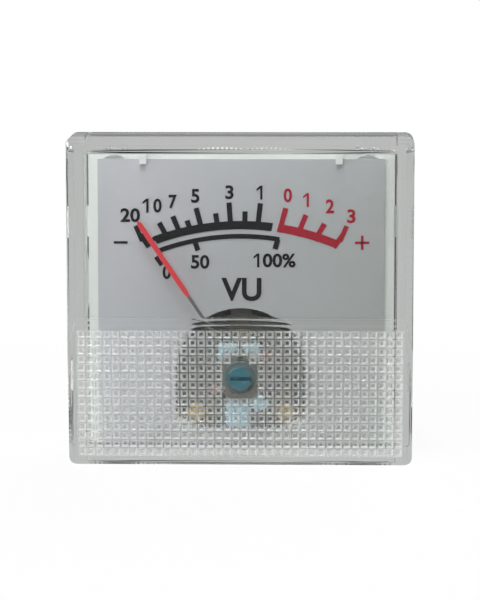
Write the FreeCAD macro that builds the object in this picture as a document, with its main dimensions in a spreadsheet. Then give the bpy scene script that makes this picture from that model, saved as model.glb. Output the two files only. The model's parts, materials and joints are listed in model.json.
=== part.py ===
import FreeCAD, Part
import math
import os
import Sketcher

# Panel meter with a moving coil, in millimetres.
# X runs to the right, Y into the panel and Z up, so the window faces -Y.
# The origin lies on the axis of the round case, in the plane that rests on the panel.

SIZES = {
    # clear cover
    "cover_wide": 45.0,
    "cover_tall": 43.2,
    "cover_deep": 9.5,
    "cover_draft": 0.3,
    "corner_round": 1.1,
    "edge_bevel": 1.1,
    "wall_side": 2.2,
    "wall_front": 1.5,
    "cavity_draft": 0.1,
    "window_low": -1.9,
    "panel_high": -3.5,
    "panel_recess": 0.4,
    "panel_slope": 4.5,
    "panel_border": 1.1,
    "boss_round": 2.9,
    # white base and round case behind the panel
    "base_gap": 0.1,
    "base_thick": 1.9,
    "body_wide": 38.0,
    "body_deep": 19.0,
    "body_wall": 1.2,
    "body_floor": 1.5,
    "snap_high": 0.3,
    "snap_gap": 0.05,
    "snap_long": 4.0,
    "snap_place": 10.0,
    "snap_thick": 0.7,
    "dial_screw_hole": 1.4,
    # dial
    "dial_side_gap": 1.2,
    "dial_top_gap": 0.8,
    "dial_thick": 0.4,
    "cut_round": 8.5,
    "cut_drop": 7.2,
    "hook_place": 12.75,
    "hook_wide": 0.9,
    "hook_lip": 0.7,
    "hook_thick": 0.35,
    "hook_gap": 0.05,
    "dial_screw_place": 11.5,
    "dial_screw_inset": 1.5,
    # printed scale
    "ink_thick": 0.05,
    "scale_drop": 13.1,
    "band_round": 32.5,
    "band_wide": 1.08,
    "percent_round": 31.05,
    "percent_wide": 0.62,
    "tick_wide": 0.68,
    "long_tick": 22.4,
    "short_tick": 21.2,
    "percent_tick": 1.35,
    # movement, all around the pivot axis
    "movement_gap": 0.3,
    "rest_angle": -34.0,
    "yoke_round": 6.8,
    "yoke_bore": 5.3,
    "yoke_front": 0.3,
    "yoke_long": 7.0,
    "core_round": 3.8,
    "core_long": 6.0,
    "spacer_wide": 2.2,
    "coil_gap": 0.3,
    "former_thick": 0.2,
    "former_wide": 1.5,
    "winding_thick": 0.5,
    "winding_wide": 1.2,
    "frame_round": 7.7,
    "frame_thick": 1.2,
    "frame_screw_place": 5.9,
    "frame_screw_drop": 5.4,
    "frame_screw_rise": 10.2,
    "frame_screw_long": 5.0,
    "frame_screw_head": 1.15,
    "hole_spare": 1.0,
    "lead_tab_place": 3.2,
    "lead_tab_drop": 0.6,
    "lead_tab_half": 0.9,
    "ear_round": 1.4,
    "case_boss_round": 1.1,
    "post_place": 6.05,
    "post_round": 0.9,
    "bridge_thick": 0.5,
    "bridge_wide": 2.4,
    "bridge_end": 0.15,
    "bridge_screw_head": 0.85,
    "bridge_screw_reach": 3.0,
    "bridge_front": 4.95,
    "rear_bridge_level": 10.8,
    "jewel_screw_round": 1.0,
    "jewel_head_round": 1.2,
    "jewel_head_thick": 0.35,
    "jewel_screw_out": 1.9,
    "jewel_round": 0.6,
    "jewel_thick": 0.5,
    "jewel_inset": 0.15,
    "jewel_floor": 0.22,
    "jewel_mouth": 0.45,
    "jewel_pit": 0.08,
    "locknut_round": 1.9,
    "locknut_thick": 0.6,
    "friction_washer_round": 1.8,
    "staff_round": 0.3,
    "staff_foot_round": 0.85,
    "staff_foot_thick": 0.3,
    "pivot_round": 0.15,
    "pivot_long": 0.35,
    "pivot_tip": 0.03,
    "pivot_play": 0.05,
    "abutment_half": 0.8,
    "abutment_long": 6.1,
    "abutment_shelf": 1.6,
    "rear_lead_place": 2.0,
    # pointer and its balance
    "pointer_long": 24.0,
    "pointer_red_from": 12.2,
    "pointer_level": 3.2,
    "pointer_thick": 0.35,
    "pointer_wide": 0.42,
    "pointer_red_wide": 0.66,
    "pointer_flare": 1.0,
    "pointer_tip_wide": 0.2,
    "pointer_tip_long": 0.4,
    "hub_round": 0.9,
    "hub_front": 0.15,
    "hub_back": 0.5,
    "arm_round": 0.2,
    "arm_long": 3.9,
    "weight_round": 0.45,
    "weight_long": 1.0,
    "weight_inset": 0.3,
    "stop_radius": 6.9,
    "stop_round": 0.35,
    "stop_over": 0.6,
    "stop_low_angle": -47.0,
    "stop_high_angle": 51.0,
    # hairsprings
    "spring_thick": 0.1,
    "spring_tall": 0.3,
    "spring_inner": 0.75,
    "spring_pitch": 0.56,
    "spring_turns": 5.0,
    "front_spring_level": 3.9,
    "rear_spring_level": 9.3,
    "collet_long": 0.5,
    # zero lever and adjuster
    "lever_thick": 0.5,
    "lever_hub": 2.4,
    "lever_fork_top": 4.3,
    "lever_tail": 6.6,
    "lever_level": 5.35,
    "fork_left": 2.8,
    "fork_right": 2.4,
    "tail_left": 1.9,
    "tail_right": 1.1,
    "spring_arm_angle": 145.0,
    "spring_arm_half": 0.9,
    "spring_arm_over": 1.6,
    "spring_post_half": 0.5,
    "spring_post_thick": 0.45,
    "adjuster_shank": 1.45,
    "adjuster_flange": 2.15,
    "adjuster_flange_thick": 0.45,
    "adjuster_float": 0.2,
    "adjuster_slot_wide": 0.5,
    "adjuster_slot_deep": 0.6,
    "seal_thick": 0.2,
    "pin_place": 1.75,
    "pin_round": 0.3,
    "pin_gap": 0.05,
    # terminals and mounting hardware
    "terminal_place": 7.5,
    "terminal_high": 5.0,
    "terminal_round": 1.5,
    "terminal_long": 10.0,
    "terminal_head_round": 2.2,
    "terminal_head_thick": 1.2,
    "nut_thick": 2.4,
    "nut_flats": 5.5,
    "washer_round": 3.0,
    "plain_washer_thick": 0.5,
    "lug_thick": 0.3,
    "lug_long": 9.0,
    "lug_half": 1.3,
    "lug_eyelet": 0.6,
    "thread_round": 1.3375,
    "thread_bevel": 0.3,
    "stud_out": 4.3345,
    "stud_round": 1.5,
    "stud_long": 12.0,
    "stud_neck_round": 1.75,
    "stud_head_round": 2.15,
    "stud_head_thick": 1.0,
    "panel_thick": 3.0,
    # small clearances
    "run_gap": 0.04,
    "hole_gap": 0.05,
    "press_gap": 0.01,
    "small_screw_round": 0.45,
    "small_screw_head": 0.9,
    "frame_screw_round": 0.55,
    "screw_head_thick": 0.55,
    "lead_round": 0.3,
}

doc = FreeCAD.newDocument("panel_meter")
sheet = doc.addObject("Spreadsheet::Sheet", "Sizes")
for row, (alias, number) in enumerate(SIZES.items(), 1):
    sheet.set(f"A{row}", alias)
    sheet.set(f"B{row}", repr(number))
    sheet.setAlias(f"B{row}", alias)
doc.recompute()


class Size:
    """A length or angle that carries its value and its formula over the sheet."""

    def __init__(self, text, value):
        self.text = text
        self.value = value

    def __add__(self, other):
        other = size_of(other)
        return Size(f"({self.text} + {other.text})", self.value + other.value)

    def __sub__(self, other):
        other = size_of(other)
        return Size(f"({self.text} - {other.text})", self.value - other.value)

    def __mul__(self, other):
        other = size_of(other)
        return Size(f"({self.text} * {other.text})", self.value * other.value)

    def __truediv__(self, other):
        other = size_of(other)
        return Size(f"({self.text} / {other.text})", self.value / other.value)

    def __radd__(self, other):
        return size_of(other) + self

    def __rsub__(self, other):
        return size_of(other) - self

    def __rmul__(self, other):
        return size_of(other) * self

    def __neg__(self):
        return Size(f"(0 - {self.text})", -self.value)


def size_of(thing):
    """A plain number written as a size."""
    if isinstance(thing, Size):
        return thing
    return Size(f"({thing!r})", float(thing))


def sine(angle):
    return Size(f"sin({angle.text})", math.sin(math.radians(angle.value)))


def cosine(angle):
    return Size(f"cos({angle.text})", math.cos(math.radians(angle.value)))


def tangent(angle):
    return Size(f"tan({angle.text})", math.tan(math.radians(angle.value)))


class Named:
    """The driving sizes by name."""


s = Named()
for alias, number in SIZES.items():
    setattr(s, alias, Size(f"Sizes.{alias}", float(number)))

PARTS = []
ZERO = size_of(0)


def keep(piece, label):
    """Names a finished sub-part and puts it on the list of those that are written."""
    piece.Label = label
    PARTS.append(piece)
    return piece


# Primitives and booleans

def place(piece, x=ZERO, y=ZERO, z=ZERO):
    for axis, amount in (("x", x), ("y", y), ("z", z)):
        piece.setExpression(f"Placement.Base.{axis}", size_of(amount).text)
    return piece


def block(x0, x1, y0, y1, z0, z1):
    """A box between two corners."""
    piece = doc.addObject("Part::Box", "block")
    piece.setExpression("Length", (size_of(x1) - x0).text)
    piece.setExpression("Width", (size_of(y1) - y0).text)
    piece.setExpression("Height", (size_of(z1) - z0).text)
    return place(piece, x0, y0, z0)


def rod(x, z, radius, y0, y1):
    """A cylinder along Y."""
    piece = doc.addObject("Part::Cylinder", "rod")
    piece.Placement = FreeCAD.Placement(FreeCAD.Vector(), FreeCAD.Rotation(FreeCAD.Vector(1, 0, 0), -90))
    piece.setExpression("Radius", size_of(radius).text)
    piece.setExpression("Height", (size_of(y1) - y0).text)
    return place(piece, x, y0, z)


def frustum(y0, y1, front, back):
    """A block whose front and back rectangles (x0, x1, z0, z1) differ."""
    piece = doc.addObject("Part::Wedge", "frustum")
    names = (("Ymin", y0), ("Ymax", y1))
    names += tuple(zip(("Xmin", "Xmax", "Zmin", "Zmax"), front))
    names += tuple(zip(("X2min", "X2max", "Z2min", "Z2max"), back))
    for name, amount in names:
        setattr(piece, name, size_of(amount).value)
    for name, amount in names:
        piece.setExpression(name, size_of(amount).text)
    return piece


def joined(*pieces):
    whole = doc.addObject("Part::MultiFuse", "joined")
    whole.Shapes = list(pieces)
    return whole


def common(first, second):
    whole = doc.addObject("Part::MultiCommon", "common")
    whole.Shapes = [first, second]
    return whole


def cut(base, *tools):
    tool = tools[0] if len(tools) == 1 else joined(*tools)
    whole = doc.addObject("Part::Cut", "cut")
    whole.Base = base
    whole.Tool = tool
    return whole


def together(*pieces):
    """Like pieces that share one node as separate solids."""
    group = doc.addObject("Part::Compound", "group")
    group.Links = list(pieces)
    return group


# Bodies with sketches

def plane_of(body, role):
    return next(plane for plane in body.Origin.OriginFeatures if plane.Role == role)


def sketch_on(body, role, level=None):
    sketch = body.newObject("Sketcher::SketchObject", "outline")
    sketch.AttachmentSupport = [(plane_of(body, role), "")]
    sketch.MapMode = "FlatFace"
    if level is not None:
        sketch.setExpression("AttachmentOffset.Base.z", size_of(level).text)
    return sketch


def tie(sketch, kind, geometry, point, amount):
    """Ties a point's distance from the sketch's origin to a size."""
    amount = size_of(amount)
    row = sketch.addConstraint(Sketcher.Constraint(kind, -1, 1, geometry, point, amount.value))
    sketch.setExpression(f"Constraints[{row}]", amount.text)


def polygon(sketch, points):
    """A closed outline through points given as pairs of sizes."""
    points = [(size_of(u), size_of(v)) for u, v in points]
    first = sketch.GeometryCount
    corners = [FreeCAD.Vector(u.value, v.value, 0) for u, v in points]
    for number, corner in enumerate(corners):
        sketch.addGeometry(Part.LineSegment(corner, corners[(number + 1) % len(corners)]), False)
    for number, (u, v) in enumerate(points):
        following = (number + 1) % len(points)
        sketch.addConstraint(Sketcher.Constraint("Coincident", first + number, 2, first + following, 1))
        tie(sketch, "DistanceX", first + number, 1, u)
        tie(sketch, "DistanceY", first + number, 1, v)


def circle(sketch, u, v, radius):
    u, v, radius = size_of(u), size_of(v), size_of(radius)
    centre = FreeCAD.Vector(u.value, v.value, 0)
    number = sketch.addGeometry(Part.Circle(centre, FreeCAD.Vector(0, 0, 1), radius.value), False)
    row = sketch.addConstraint(Sketcher.Constraint("Radius", number, radius.value))
    sketch.setExpression(f"Constraints[{row}]", radius.text)
    tie(sketch, "DistanceX", number, 3, u)
    tie(sketch, "DistanceY", number, 3, v)


def plate(back, thick, outline, holes=()):
    """A flat piece square to Y: its outline (or one circle) with round holes, from its back face forward."""
    body = doc.addObject("PartDesign::Body", "plate")
    sketch = sketch_on(body, "XZ_Plane", -size_of(back))
    if len(outline) == 1:
        circle(sketch, *outline[0])
    else:
        polygon(sketch, outline)
    for hole in holes:
        circle(sketch, *hole)
    pad = body.newObject("PartDesign::Pad", "pad")
    pad.Profile = sketch
    pad.setExpression("Length", size_of(thick).text)
    return body


def turned(profile, x=ZERO, z=ZERO, turn=None):
    """A piece turned about a line along Y, from its half section of (radius, y) points."""
    body = doc.addObject("PartDesign::Body", "turned")
    sketch = sketch_on(body, "XY_Plane")
    polygon(sketch, profile)
    spin = body.newObject("PartDesign::Revolution", "spin")
    spin.Profile = sketch
    spin.ReferenceAxis = (sketch, ["V_Axis"])
    spin.Angle = 360
    if turn is not None:
        body.Placement = FreeCAD.Placement(FreeCAD.Vector(), FreeCAD.Rotation(FreeCAD.Vector(0, 1, 0), 1))
        body.setExpression("Placement.Rotation.Angle", turn.text)
    return place(body, x, ZERO, z)


def swung(piece, angle=None):
    """Carries a piece made around the origin to the pivot axis, turned about it."""
    if angle is not None:
        piece.Placement = FreeCAD.Placement(FreeCAD.Vector(), FreeCAD.Rotation(FreeCAD.Vector(0, 1, 0), 1))
        piece.setExpression("Placement.Rotation.Angle", angle.text)
    return place(piece, ZERO, ZERO, pivot_high)


def ring_profile(bore, radius, y0, y1):
    return [(bore, y0), (radius, y0), (radius, y1), (bore, y1)]


def screw_profile(radius, head_radius, head_front, seat, tip):
    """Half section of a screw that points into the case, head first."""
    return [(0, head_front), (head_radius, head_front), (head_radius, seat), (radius, seat), (radius, tip),
            (0, tip)]


def slotted(screw, x, z, head_radius, head_front, wide, upright=False):
    """Cuts a driver slot half way into a screw head."""
    half, long = wide / 2, head_radius + s.hole_gap
    if upright:
        half, long = long, half
    floor = head_front + s.screw_head_thick / 2
    return cut(screw, block(x - long, x + long, head_front, floor, z - half, z + half))


# Clear cover

pivot_high = -(s.body_wide / 2 - s.body_wall - s.frame_round - s.movement_gap)
lever_front = -(s.lever_level + s.lever_thick / 2)
lever_back = lever_front + s.lever_thick
jewel_head_front = lever_front - s.hole_gap - s.jewel_head_thick
flange_back = jewel_head_front - s.adjuster_float
flange_front = flange_back - s.adjuster_flange_thick
boss_face = flange_front - s.seal_thick
half_wide = s.cover_wide / 2
half_tall = s.cover_tall / 2
front_wide = half_wide - s.cover_draft
front_tall = half_tall - s.cover_draft
cavity_wide = front_wide - s.wall_side
cavity_tall = front_tall - s.wall_side


def sloped(piece, high, deep):
    """Leans a block made around a line so that it follows the sloping lower panel."""
    piece.Placement = FreeCAD.Placement(FreeCAD.Vector(), FreeCAD.Rotation(FreeCAD.Vector(1, 0, 0), 1))
    piece.setExpression("Placement.Rotation.Angle", s.panel_slope.text)
    return place(piece, ZERO, deep, high)


def front_cover():
    front = (-front_wide, front_wide, -front_tall, front_tall)
    back = (-half_wide, half_wide, -half_tall, half_tall)
    body = doc.addObject("PartDesign::Body", "cover_block")
    wedge = body.newObject("PartDesign::AdditiveWedge", "drafted")
    names = (("Ymin", -s.cover_deep), ("Ymax", ZERO))
    names += tuple(zip(("Xmin", "Xmax", "Zmin", "Zmax"), front))
    names += tuple(zip(("X2min", "X2max", "Z2min", "Z2max"), back))
    for name, amount in names:
        setattr(wedge, name, amount.value)
    for name, amount in names:
        wedge.setExpression(name, amount.text)
    doc.recompute()
    corners = [f"Edge{number}" for number, edge in enumerate(wedge.Shape.Edges, 1)
               if abs(edge.Vertexes[0].Y - edge.Vertexes[1].Y) > s.cover_deep.value / 2]
    rounding = body.newObject("PartDesign::Fillet", "corners")
    rounding.Base = (wedge, corners)
    rounding.setExpression("Radius", s.corner_round.text)
    # The front is bevelled all round, once for the window and once for the sloping lower panel.
    reach = s.cover_deep
    lean = (s.window_low - s.panel_high) / s.panel_recess
    window_wide = front_wide - s.edge_bevel
    window_top = front_tall - s.edge_bevel
    window_form = frustum(
        -s.cover_deep, ZERO,
        (-window_wide, window_wide, s.window_low, window_top),
        (-(window_wide + reach), window_wide + reach, s.window_low - reach * lean, window_top + reach))
    panel_wide = front_wide - s.panel_border
    panel_long = (s.panel_high + front_tall - s.panel_border) / cosine(s.panel_slope)
    panel_form = sloped(frustum(
        ZERO, reach,
        (-panel_wide, panel_wide, -panel_long, ZERO),
        (-(panel_wide + reach), panel_wide + reach, -(panel_long + reach), ZERO)),
        s.panel_high, s.panel_recess - s.cover_deep)
    outside = common(body, joined(window_form, panel_form))
    # The inside is open at the back and keeps an even front wall.
    room = frustum(
        s.wall_front - s.cover_deep, ZERO,
        (-cavity_wide, cavity_wide, -cavity_tall, cavity_tall),
        (-(cavity_wide + s.cavity_draft), cavity_wide + s.cavity_draft,
         -(cavity_tall + s.cavity_draft), cavity_tall + s.cavity_draft))
    upper_room = block(-half_wide, half_wide, -s.cover_deep, ZERO, s.window_low, half_tall)
    lower_face = (-half_wide, half_wide, -s.cover_tall, s.wall_front)
    lower_room = sloped(frustum(s.wall_front, s.cover_deep, lower_face, lower_face),
                        s.panel_high, s.panel_recess - s.cover_deep)
    inside = common(room, joined(upper_room, lower_room))
    boss = rod(ZERO, pivot_high, s.boss_round, s.panel_recess - s.cover_deep + s.wall_front, boss_face)
    hole = rod(ZERO, pivot_high, s.adjuster_shank + s.run_gap, -s.cover_deep, ZERO)
    notches = []
    for side in (-1, 1):
        for level in (-1, 1):
            edge = (cavity_wide + s.cavity_draft + s.snap_high) * side
            middle = s.snap_place * level
            half = s.snap_long / 2 + s.snap_gap
            deep = s.snap_thick / 2 + s.snap_gap
            x0, x1 = (edge, ZERO) if side < 0 else (ZERO, edge)
            notches.append(block(x0, x1, -(s.base_thick / 2 + deep), deep - s.base_thick / 2,
                                 middle - half, middle + half))
    keep(cut(joined(cut(outside, inside), boss), hole, *notches), "front_cover")


# White base plate and round case

base_wide = cavity_wide - s.base_gap
base_tall = cavity_tall - s.base_gap
floor_inside = s.body_deep - s.body_floor
dial_back = -s.base_thick
dial_face = dial_back - s.dial_thick
stud_seat = s.stud_head_thick - s.base_thick
small_hole = s.small_screw_round + s.hole_gap
frame_front = s.yoke_front - s.frame_thick
frame_screw_spots = (
    (-s.frame_screw_place, pivot_high - s.frame_screw_drop),
    (s.frame_screw_place, pivot_high - s.frame_screw_drop),
    (ZERO, pivot_high + s.frame_screw_rise),
)
stud_place = (s.body_wide / 2 + s.stud_out) * cosine(size_of(45))
stud_spots = [(stud_place * across, stud_place * up) for across in (-1, 1) for up in (-1, 1)]
terminal_spots = [(s.terminal_place * side, s.terminal_high) for side in (-1, 1)]
dial_screw_spots = [(s.dial_screw_place * side, s.dial_screw_inset - base_tall) for side in (-1, 1)]


def rear_case():
    solids = [block(-base_wide, base_wide, -s.base_thick, ZERO, -base_tall, base_tall)]
    solids.append(rod(ZERO, ZERO, s.body_wide / 2, ZERO, s.body_deep))
    # Snap bumps that click into the cover's side walls.
    for side in (-1, 1):
        for level in (-1, 1):
            edge = (base_wide + s.snap_high - s.snap_gap) * side
            middle = s.snap_place * level
            x0, x1 = (edge, ZERO) if side < 0 else (ZERO, edge)
            solids.append(block(x0, x1, -(s.base_thick / 2 + s.snap_thick / 2),
                                -(s.base_thick / 2 - s.snap_thick / 2),
                                middle - s.snap_long / 2, middle + s.snap_long / 2))
    # Hooks that hold the dial's top edge.
    lip_back = dial_face - s.hook_gap
    lip_front = lip_back - s.hook_thick
    stem_low = dial_top + s.hook_gap
    hook_middles = (-s.hook_place, s.hook_place)
    hooks = [(middle - s.hook_wide / 2, middle + s.hook_wide / 2) for middle in hook_middles]
    solids += [block(x0, x1, lip_front, -s.base_thick / 2, stem_low, base_tall) for x0, x1 in hooks]
    shell = joined(*solids)
    room = rod(ZERO, ZERO, s.body_wide / 2 - s.body_wall, -s.base_thick, floor_inside)
    hollow = cut(shell, room)
    lips = [block(x0, x1, lip_front, lip_back, stem_low - s.hook_lip, base_tall) for x0, x1 in hooks]
    bosses = [rod(x, z, s.case_boss_round, s.yoke_front, s.body_deep - s.body_floor / 2)
              for x, z in frame_screw_spots]
    holes = [rod(x, z, s.frame_screw_round + s.hole_gap, s.yoke_front,
                 s.yoke_front + s.frame_screw_long + s.hole_spare) for x, z in frame_screw_spots]
    for x, z in stud_spots:
        holes.append(rod(x, z, s.stud_neck_round + s.hole_gap, -s.base_thick, ZERO))
        holes.append(rod(x, z, s.stud_head_round + s.hole_gap, -s.base_thick, stud_seat))
    for x, z in terminal_spots:
        holes.append(rod(x, z, s.terminal_round + s.hole_gap, floor_inside, s.body_deep))
    for x, z in dial_screw_spots:
        holes.append(rod(x, z, small_hole, -s.base_thick, s.dial_screw_hole - s.base_thick))
    keep(cut(joined(hollow, *lips, *bosses), *holes), "rear_case")


# Dial plate with its arched opening, and its two screws

dial_half = base_wide - s.dial_side_gap
dial_top = base_tall - s.dial_top_gap
scale_centre = pivot_high - s.scale_drop


def dial_plate():
    sheet_metal = block(-dial_half, dial_half, dial_face, dial_back, -base_tall, dial_top)
    arch = rod(ZERO, pivot_high, s.cut_round, dial_face, dial_back)
    foot = block(-s.cut_round, s.cut_round, dial_face, dial_back, pivot_high - s.cut_drop, pivot_high)
    opening = joined(arch, foot)
    # The round part ends where the straight foot of the arch does.
    below = block(-s.cut_round, s.cut_round, dial_face, dial_back, pivot_high - s.cut_round,
                  pivot_high - s.cut_drop)
    holes = [rod(x, z, small_hole, dial_face, dial_back) for x, z in dial_screw_spots]
    keep(cut(sheet_metal, cut(opening, below), *holes), "dial_plate")
    screws = []
    for x, z in dial_screw_spots:
        head = dial_face - s.screw_head_thick
        screw = turned(screw_profile(s.small_screw_round, s.small_screw_head, head, dial_face,
                                     dial_face + s.dial_screw_hole), x, z)
        screws.append(slotted(screw, x, z, s.small_screw_head, head, s.small_screw_round / 2))
    keep(together(*screws), "dial_screws")


# Printed scale: flat bands with ticks, as thin layers on the dial

LONG_TICKS = (-28.45, -23.45, -15.15, -4.0, 6.5)
SHORT_TICKS = (-32.5, -19.4, -9.0, 1.45)
LOW_MARK = -36.0
BAND_ENDS = (-32.9, 12.0)
RED_TICKS = (15.1, 22.2, 29.0, 36.2)
PERCENT_TICKS = (-19.25, 15.3)
PERCENT_ENDS = (-34.0, 15.9)


def on_band(radius, angle):
    """Where the ray at an angle from the pivot meets a band circle of the scale."""
    pivot, centre = pivot_high.value, scale_centre.value
    direction = math.radians(angle)
    along = math.cos(direction) * (centre - pivot)
    reach = along + math.sqrt(along ** 2 - (centre - pivot) ** 2 + radius ** 2)
    return FreeCAD.Vector(reach * math.sin(direction), 0, pivot + reach * math.cos(direction))


def band(radius, wide, first, last):
    """A stretch of band between two rays from the pivot."""
    edges = []
    rims = []
    for offset in (wide / 2, -wide / 2):
        ends = [on_band(radius + offset, angle) for angle in (first, (first + last) / 2, last)]
        edges.append(Part.Arc(*ends).toShape())
        rims.append(ends)
    edges.insert(1, Part.LineSegment(rims[0][2], rims[1][2]).toShape())
    edges.append(Part.LineSegment(rims[0][0], rims[1][0]).toShape())
    return printed(Part.Wire(Part.__sortEdges__(edges)))


def tick(angle, inner, outer):
    """A radial mark between two distances from the pivot."""
    half = s.tick_wide.value / 2
    direction = math.radians(angle)
    along = FreeCAD.Vector(math.sin(direction), 0, math.cos(direction))
    across = FreeCAD.Vector(along.z, 0, -along.x)
    pivot = FreeCAD.Vector(0, 0, pivot_high.value)
    corners = [pivot + along * reach + across * side * half
               for reach, side in ((inner, -1), (outer, -1), (outer, 1), (inner, 1), (inner, -1))]
    return printed(Part.makePolygon(corners))


def printed(wire):
    """A layer of ink inside a closed outline on the dial's face."""
    ink = Part.Face(wire).extrude(FreeCAD.Vector(0, -s.ink_thick.value, 0))
    return ink.translated(FreeCAD.Vector(0, dial_face.value, 0))


def reach_of(radius, angle):
    return on_band(radius, angle).distanceToPoint(FreeCAD.Vector(0, 0, pivot_high.value))


def whole_of(layers):
    """Ink that runs together, as one clean layer."""
    return layers[0].multiFuse(layers[1:]).removeSplitter()


def scale_print():
    main, percent = s.band_round.value, s.percent_round.value
    layers = [band(main, s.band_wide.value, *BAND_ENDS)]
    for angle in LONG_TICKS:
        layers.append(tick(angle, reach_of(main, angle), s.long_tick.value))
    for angle in SHORT_TICKS:
        layers.append(tick(angle, reach_of(main, angle), s.short_tick.value))
    percent_layers = [band(percent, s.percent_wide.value, *PERCENT_ENDS)]
    for angle in PERCENT_TICKS:
        reach = reach_of(percent, angle)
        percent_layers.append(tick(angle, reach - s.percent_tick.value, reach))
    low_reach = reach_of(main - s.band_wide.value / 2, LOW_MARK)
    zero_reach = reach_of(percent, LOW_MARK) - s.percent_wide.value
    loose = [tick(LOW_MARK, low_reach, s.long_tick.value),
             tick(LOW_MARK, zero_reach - s.percent_tick.value, zero_reach)]
    black = doc.addObject("Part::Feature", "black_ink")
    black.Shape = Part.makeCompound([whole_of(layers), whole_of(percent_layers)] + loose)
    keep(black, "scale_print_black")
    red_layers = [band(main, s.band_wide.value, RED_TICKS[0], RED_TICKS[-1])]
    for angle in RED_TICKS:
        red_layers.append(tick(angle, reach_of(main - s.band_wide.value / 2, angle), s.long_tick.value))
    red = doc.addObject("Part::Feature", "red_ink")
    red.Shape = whole_of(red_layers)
    keep(red, "scale_print_red")


# Fixed movement: frame, iron ring, magnet core, posts, bridges and bearings

yoke_back = s.yoke_front + s.yoke_long
core_front = s.yoke_front + (s.yoke_long - s.core_long) / 2
core_back = core_front + s.core_long
post_spots = [(s.post_place * side, pivot_high) for side in (-1, 1)]
bridge_back = s.bridge_thick - s.bridge_front
former_inner_front = core_front - s.coil_gap
former_inner_back = core_back + s.coil_gap
winding_front = former_inner_front - s.former_thick - s.winding_thick
winding_back = former_inner_back + s.former_thick + s.winding_thick
rear_bridge_back = s.rear_bridge_level + s.bridge_thick
front_pocket = -(s.bridge_front + s.jewel_inset)
rear_pocket = s.rear_bridge_level + s.jewel_inset
tip_front = front_pocket + s.jewel_floor + s.pivot_play
tip_back = rear_pocket - s.jewel_floor - s.pivot_play
lead_tab_z = pivot_high + s.frame_screw_rise - s.lead_tab_drop
abutment_top = pivot_high + s.abutment_long
spring_outer = s.spring_inner + s.spring_pitch * s.spring_turns + s.spring_thick / 2


def movement_frame():
    disc = rod(ZERO, pivot_high, s.frame_round, frame_front, s.yoke_front)
    ears = [rod(x, z, s.ear_round, frame_front, s.yoke_front) for x, z in frame_screw_spots]
    neck = block(-s.ear_round, s.ear_round, frame_front, s.yoke_front, pivot_high + s.yoke_bore,
                 pivot_high + s.frame_screw_rise)
    # The side tab on the neck takes the front lead.
    tab = block(ZERO, s.lead_tab_place + s.lead_tab_half, frame_front, s.yoke_front,
                lead_tab_z - s.lead_tab_half, lead_tab_z + s.lead_tab_half)
    drilled = [(x, z, s.frame_screw_round + s.hole_gap) for x, z in frame_screw_spots]
    drilled += [(x, z, small_hole) for x, z in post_spots]
    drilled += [(x, z, s.stop_round) for x, z in stop_spots]
    drilled.append((ZERO, pivot_high, s.yoke_bore))
    holes = [rod(x, z, radius, frame_front, s.yoke_front) for x, z, radius in drilled]
    keep(cut(joined(disc, neck, tab, *ears), *holes), "movement_frame")
    screws = []
    for x, z in frame_screw_spots:
        head = frame_front - s.screw_head_thick
        screw = turned(screw_profile(s.frame_screw_round, s.frame_screw_head, head, frame_front,
                                     s.yoke_front + s.frame_screw_long), x, z)
        screws.append(slotted(screw, x, z, s.frame_screw_head, head, s.frame_screw_round / 2))
    keep(together(*screws), "frame_screws")


def magnet_circuit():
    ring = rod(ZERO, pivot_high, s.yoke_round, s.yoke_front, yoke_back)
    bore = rod(ZERO, pivot_high, s.yoke_bore, s.yoke_front, yoke_back)
    threads = [rod(x, z, small_hole, s.yoke_front, yoke_back) for x, z in post_spots]
    keep(cut(ring, bore, *threads), "yoke_ring")
    bevel = s.coil_gap
    keep(turned([(0, core_front), (s.core_round - bevel, core_front), (s.core_round, core_front + bevel),
                 (s.core_round, core_back - bevel), (s.core_round - bevel, core_back), (0, core_back)],
                ZERO, pivot_high), "core_magnet")
    # Brass wedges hold the core where the coil's sides never come.
    between = rod(ZERO, pivot_high, s.yoke_bore, core_front + bevel, core_back - bevel)
    inner = rod(ZERO, pivot_high, s.core_round, core_front, core_back)
    half = s.spacer_wide / 2
    webs = []
    for low, high in ((ZERO, s.yoke_bore), (-s.yoke_bore, ZERO)):
        web = block(-half, half, core_front + bevel, core_back - bevel,
                    pivot_high + low, pivot_high + high)
        webs.append(cut(common(web, between), inner))
    keep(together(*webs), "core_spacers")


def bridge(back, label):
    """A flat bar across the ring that carries a jewel screw."""
    half_long = s.post_place + s.post_round + s.bridge_end
    half = s.bridge_wide / 2
    outline = [(-half_long, pivot_high - half), (half_long, pivot_high - half),
               (half_long, pivot_high + half), (-half_long, pivot_high + half)]
    holes = [(x, z, small_hole) for x, z in post_spots]
    holes.append((ZERO, pivot_high, s.jewel_screw_round + s.hole_gap))
    keep(plate(back, s.bridge_thick, outline, holes), label)


def posts_and_screws():
    posts = [turned(ring_profile(small_hole, s.post_round, bridge_back, frame_front), x, z)
             for x, z in post_spots]
    keep(together(*posts), "front_posts")
    posts = [turned(ring_profile(small_hole, s.post_round, yoke_back, s.rear_bridge_level), x, z)
             for x, z in post_spots]
    keep(together(*posts), "rear_posts")
    screws = []
    for x, z in post_spots:
        head = -(s.bridge_front + s.screw_head_thick)
        screw = turned(screw_profile(s.small_screw_round, s.bridge_screw_head, head, -s.bridge_front,
                                     s.yoke_front + s.bridge_screw_reach), x, z)
        screws.append(slotted(screw, x, z, s.bridge_screw_head, head, s.small_screw_round / 2, True))
    keep(together(*screws), "front_bridge_screws")
    screws = []
    seat, tip = rear_bridge_back, yoke_back - s.bridge_screw_reach
    for x, z in post_spots:
        profile = [(0, tip), (s.small_screw_round, tip), (s.small_screw_round, seat),
                   (s.bridge_screw_head, seat), (s.bridge_screw_head, seat + s.screw_head_thick),
                   (0, seat + s.screw_head_thick)]
        screws.append(turned(profile, x, z))
    keep(together(*screws), "rear_bridge_screws")


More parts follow.
